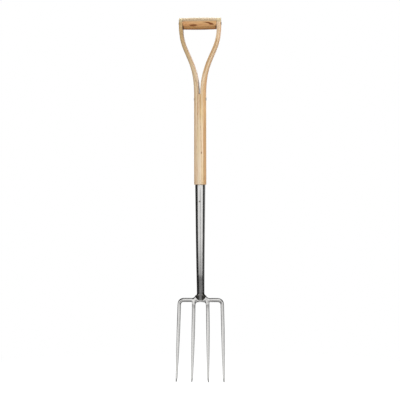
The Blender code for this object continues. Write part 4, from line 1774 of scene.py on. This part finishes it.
@dataclass
class Studio:
    """White studio: the photograph's camera, soft lamps, a pale floor and what the steel reflects."""

    azimuth: float = 6.5            # degrees, camera to the fork's right
    distance: float = 5.0
    eye_height: float = 0.4987
    aim_shift: float = -0.0008      # the fork stands this much right of the picture's middle
    roll: float = 0.07              # degrees, the fork's top leaning to the left
    frame_width: float = 1.0972     # width of the picture at the fork
    sensor: float = 36.0
    ambient: float = 0.36
    floor_size: float = 7.0
    floor_near: float = 0.35        # from the fork, where the floor begins to run into the white
    floor_far: float = 0.95         # where it has done so
    floor_glow: float = 0.74        # what makes it white under the lamps, but for the fork's shadow
    flag_tone: str = "#2c2c2c"
    rim_tone: str = "#8c8c8c"
    # Tones that the steel mirrors, from the camera's own direction to straight away from it.
    panels: Stops = (
        (0.0, "#bcbcbc"), (0.04, "#c8c8c8"), (0.085, "#ffffff"), (0.30, "#ffffff"), (0.37, "#4a4a4a"),
        (0.43, "#2e2e2e"), (0.86, "#303030"), (0.91, "#c8c8c8"), (0.97, "#ffffff"),
    )
    # What dims them below the horizon, from lowest to level.
    ground_tones: Stops = (
        (0.0, "#e0e0e0"), (0.36, "#d8d8d8"), (0.47, "#a0a0a0"), (0.54, "#686868"), (0.64, "#686868"),
        (0.70, "#888888"), (0.75, "#a6a6a6"), (0.848, "#cecece"), (0.936, "#ffffff"),
    )
    lowest: float = -0.75           # upward part of the lowest direction that those tones cover
    softboxes: tuple[Softbox, ...] = (
        Softbox("right_softbox", (2.6, -0.5, 1.5), 0.7, (1.4, 1.8), 58.0),
        Softbox("left_softbox", (-2.4, -1.2, 1.1), 0.6, (1.4, 1.8), 24.0),
        Softbox("front_softbox", (0.1, -3.0, 1.0), 0.6, (1.6, 1.8), 32.0),
        Softbox("top_softbox", (0.0, 0.9, 2.5), 0.9, (1.8, 1.6), 60.0),
    )

    def __post_init__(self) -> None:
        """Work out the level directions from the fork to the camera, and to the camera's right."""
        turn = math.radians(self.azimuth)
        self.facing = Vector((math.sin(turn), -math.cos(turn), 0.0))
        self.right = Vector((math.cos(turn), math.sin(turn), 0.0))

    def build(self) -> None:
        """Make the camera, lamps, world and floor."""
        bpy.context.scene.view_settings.view_transform = "Standard"
        self.add_camera()
        self.add_world()
        self.add_floor()
        for softbox in self.softboxes:
            softbox.light()

    def add_camera(self) -> None:
        """Camera square to the fork's middle height, seeing frame_width across."""
        data = bpy.data.cameras.new("photo_camera")
        data.sensor_width = self.sensor
        data.lens = self.sensor * self.distance / self.frame_width
        camera = add_object("photo_camera", data)
        level = self.facing * self.distance + self.right * self.aim_shift
        camera.location = level + Vector((0, 0, self.eye_height))
        turn = Quaternion(self.facing, -math.radians(self.roll)) @ (-self.facing).to_track_quat("-Z", "Y")
        camera.rotation_euler = turn.to_euler()
        bpy.context.scene.camera = camera

    def add_world(self) -> None:
        """White to the camera, plain soft light to the wood, and panels and black flags to the steel."""
        world = bpy.data.worlds.new("white_studio")
        world.use_nodes = True
        bpy.context.scene.world = world
        tree = world.node_tree
        way = add_node(tree, "ShaderNodeTexCoord").outputs["Generated"]
        toward, sideways = [
            add_node(tree, "ShaderNodeVectorMath", {0: way, 1: direction}, operation="DOT_PRODUCT")
            for direction in (self.facing, self.right)
        ]
        turned = add_node(tree, "ShaderNodeMath", {0: toward.outputs["Value"]}, operation="ARCCOSINE")
        share = add_node(tree, "ShaderNodeMath", {0: turned, 1: math.pi}, operation="DIVIDE")
        rise = add_node(tree, "ShaderNodeSeparateXYZ", {0: way}).outputs[2]
        low = add_node(tree, "ShaderNodeMapRange", {"Value": rise, "From Min": self.lowest, "From Max": 0.0})
        ground = fill_ramp(add_node(tree, "ShaderNodeValToRGB", {"Fac": low}), self.ground_tones)
        behind = add_node(tree, "ShaderNodeMapRange", {"Value": share, "From Min": 0.6, "From Max": 0.75})
        lower = add_node(tree, "ShaderNodeMix", {
            MIX_FACTOR: behind, MIX_A: ground, MIX_B: WHITE,
        }, data_type="RGBA").outputs[MIX_RESULT]
        studio = fill_ramp(add_node(tree, "ShaderNodeValToRGB", {"Fac": share}), self.panels)
        for mask, tint, blend in (
            (self.side_flags(tree, sideways.outputs["Value"], rise), linear(self.flag_tone), "MIX"),
            (self.right_rim(tree, sideways.outputs["Value"], share), linear(self.rim_tone), "MIX"),
            (1.0, lower, "MULTIPLY"),
        ):
            studio = add_node(tree, "ShaderNodeMix", {
                MIX_FACTOR: mask, MIX_A: studio, MIX_B: tint,
            }, data_type="RGBA", blend_type=blend).outputs[MIX_RESULT]
        ray = add_node(tree, "ShaderNodeLightPath")
        soft = (self.ambient, self.ambient, self.ambient, 1.0)
        lit = add_node(tree, "ShaderNodeMix", {
            MIX_FACTOR: ray.outputs["Is Glossy Ray"], MIX_A: soft, MIX_B: studio,
        }, data_type="RGBA").outputs[MIX_RESULT]
        seen = add_node(tree, "ShaderNodeMath", {
            0: ray.outputs["Is Camera Ray"], 1: ray.outputs["Is Transmission Ray"],
        }, operation="MAXIMUM")
        final = add_node(tree, "ShaderNodeMix", {
            MIX_FACTOR: seen, MIX_A: lit, MIX_B: WHITE,
        }, data_type="RGBA")
        tree.links.new(final.outputs[MIX_RESULT], tree.nodes["Background"].inputs["Color"])

    def side_flags(
        self, tree: bpy.types.NodeTree, sideways: bpy.types.NodeSocket, rise: bpy.types.NodeSocket
    ) -> bpy.types.Node:
        """Flags at both sides: high ones, and low ones further out, for the sides of the socket's foot.

        Args:
            tree: node tree of the world.
            sideways: part to the right of the direction looked in.
            rise: its upward part.

        Returns:
            Share of flag.
        """
        off = add_node(tree, "ShaderNodeMath", {0: sideways}, operation="ABSOLUTE")
        level = add_node(tree, "ShaderNodeMapRange", {"Value": rise, "From Min": -1.0, "From Max": 1.0})
        flags = []
        for start, full, band in (
            (0.55, 0.80, ((0.24, "#000000"), (0.30, "#ffffff"), (0.40, "#ffffff"), (0.45, "#000000"))),
            (0.20, 0.42, ((0.60, "#000000"), (0.66, "#ffffff"))),
        ):
            beside = add_node(tree, "ShaderNodeMapRange", {"Value": off, "From Min": start, "From Max": full})
            stripe = fill_ramp(add_node(tree, "ShaderNodeValToRGB", {"Fac": level}), band)
            flags.append(add_node(tree, "ShaderNodeMath", {0: beside, 1: stripe}, operation="MULTIPLY"))
        return add_node(tree, "ShaderNodeMath", {0: flags[0], 1: flags[1]}, operation="MAXIMUM")

    def right_rim(
        self, tree: bpy.types.NodeTree, sideways: bpy.types.NodeSocket, share: bpy.types.Node
    ) -> bpy.types.Node:
        """Pale panel behind the fork's right side, which lights the tube's right rim.

        Args:
            tree: node tree of the world.
            sideways: part to the right of the direction looked in.
            share: its angle from the camera, as a share of a half turn.

        Returns:
            Share of panel.
        """
        on_right = add_node(tree, "ShaderNodeMath", {0: sideways, 1: 0.0}, operation="GREATER_THAN")
        behind = fill_ramp(add_node(tree, "ShaderNodeValToRGB", {"Fac": share}), (
            (0.56, "#000000"), (0.66, "#ffffff"), (0.84, "#ffffff"), (0.90, "#000000"),
        ))
        return add_node(tree, "ShaderNodeMath", {0: on_right, 1: behind}, operation="MULTIPLY")

    def add_floor(self) -> None:
        """Pale floor that keeps the fork's shadow and runs into the white behind it."""
        material = bpy.data.materials.new("studio_floor_paper")
        material.use_nodes = True
        tree = material.node_tree
        tree.nodes.clear()
        place = add_node(tree, "ShaderNodeTexCoord").outputs["Object"]
        reach = add_node(tree, "ShaderNodeVectorMath", {0: place}, operation="LENGTH").outputs["Value"]
        far = add_node(tree, "ShaderNodeMapRange", {
            "Value": reach, "From Min": self.floor_near, "From Max": self.floor_far,
        }, interpolation_type="SMOOTHSTEP")
        paper = add_node(tree, "ShaderNodeBsdfDiffuse", {"Color": linear("#6a6a6a")})
        shadowed = add_node(tree, "ShaderNodeBsdfDiffuse", {"Color": linear("#959595")})
        glow = add_node(tree, "ShaderNodeEmission", {"Color": WHITE, "Strength": self.floor_glow})
        near = add_node(tree, "ShaderNodeAddShader", {0: shadowed, 1: glow})
        white = add_node(tree, "ShaderNodeEmission", {"Color": WHITE, "Strength": 1.0})
        seen = add_node(tree, "ShaderNodeMixShader", {0: far, 1: near, 2: white})
        ray = add_node(tree, "ShaderNodeLightPath")
        either = add_node(tree, "ShaderNodeMixShader", {0: ray.outputs["Is Camera Ray"], 1: paper, 2: seen})
        add_node(tree, "ShaderNodeOutputMaterial", {"Surface": either})
        bm = bmesh.new()
        bmesh.ops.create_grid(bm, x_segments=1, y_segments=1, size=self.floor_size / 2)
        floor = add_piece("studio_floor", bm, material)
        floor.visible_glossy = False


def ash_of_shaft() -> AshWood:
    """Straight-grained ash of the pole and arms: pale outer wood, tan where the sides are cut deeper.

    Returns:
        The wood, ready to build.
    """
    return AshWood(
        name="lacquered_ash",
        ring_stops=(
            (0.0, "#dcb88e"), (0.14, "#e7c8a2"), (0.32, "#f3dcbb"), (0.80, "#f6e2c6"), (1.0, "#e8caa3"),
        ),
        heart="#efddc5",
        fleck="#8a5a30",
        pith=(0.006, 0.085),
        pale_depth=0.0031,
        front=-0.0165,
        along=2,
        attribute=GRAIN_SPACE,
        streaks=(Streak(along=0.628, across=0.0051, half_length=0.0042, half_width=0.0016),),
        tints_and_shades=(
            # Darker right side of the pole below the split: partly the wood's darker band, partly painted
            # shade that tones down the right lamp.
            TintAndShade("#e3dbd2", axis=0, start=0.0080, full=0.0106, other_start=0.790, other_full=0.690),
            # Painted shade: the left arm is made darker, as if lit only from the right.
            TintAndShade("#d8ccb3", axis=0, start=-0.0002, full=-0.0020, other_start=0.800, other_full=0.930),
            TintAndShade("#eee8e2", axis=2, start=0.740, full=0.770, other_start=-0.0004, other_full=0.0012),
            # Painted shade on the slot's inner faces, above its foot.
            TintAndShade(
                "#b39c7c", axis=0, start=0.0028, full=0.0023, other_start=0.786, other_full=0.792,
                both_ways=True,
            ),
            # Painted reflection: a greyish tan cap over the arms' rounded tops, standing in for what their
            # lacquer mirrors from above.
            TintAndShade("#c6b48e", axis=2, start=0.9900, full=0.9955, multiply=False),
        ),
    )


def ash_of_grip(height: float) -> AshWood:
    """Turned ash of the grip: the rings lie flat to its front and show as long ovals.

    Args:
        height: level of the grip's axis.

    Returns:
        The wood, ready to build.
    """
    return AshWood(
        name="turned_lacquered_ash",
        ring_stops=(
            (0.0, "#9b6533"), (0.10, "#b98650"), (0.30, "#daa974"), (0.80, "#ddaf7b"), (1.0, "#c9965f"),
        ),
        heart="#f2ddc2",
        fleck="#7a4318",
        pith=(0.004, 0.0607),
        pale_depth=0.0060,
        front=-0.0177,
        along=0,
        origin=(0.0, 0.0, height),
        ring_width=0.0030,
        wander=0.0010,
        wander_size=0.016,
        wander_length=0.060,
        streaks=(
            Streak(along=-0.0170, across=-0.0058, half_length=0.0138, half_width=0.0034),
            Streak(along=0.0, across=-0.0042, half_length=0.0335, half_width=0.0074, nose=True),
        ),
        tints_and_shades=(
            # Painted reflection on the grip's upper half: a greyish tan band, then a pale band along its top,
            # where the lacquer mirrors the light above.
            TintAndShade("#baa485", axis=2, start=0.0025, full=0.0080, multiply=False),
            TintAndShade("#d6c9ac", axis=2, start=0.0130, full=0.0165, multiply=False),
            # Painted shade in the grip's lower corners, beside the arms.
            TintAndShade(
                "#70503a", axis=0, start=0.0405, full=0.0462, other_start=-0.0030, other_full=-0.0110,
                both_ways=True,
            ),
        ),
    )


def main() -> None:
    """Build the fork's pieces and the studio in order."""
    logging.basicConfig(level=logging.INFO, format="%(name)s: %(message)s")
    steel = PolishedStainless().build()
    rivet_steel = RivetSteel().build()
    form = SocketForm()
    grip = HandGrip()
    fasteners = Fasteners(grip.stub_diameter)
    ForkHead(form).build(steel)
    Socket(form).build(steel)
    AshShaft(form).build(ash_of_shaft().build(), fasteners)
    grip.build(ash_of_grip(fasteners.grip_z).build())
    fasteners.build(rivet_steel)
    Studio().build()


if __name__ == "__main__":
    main()
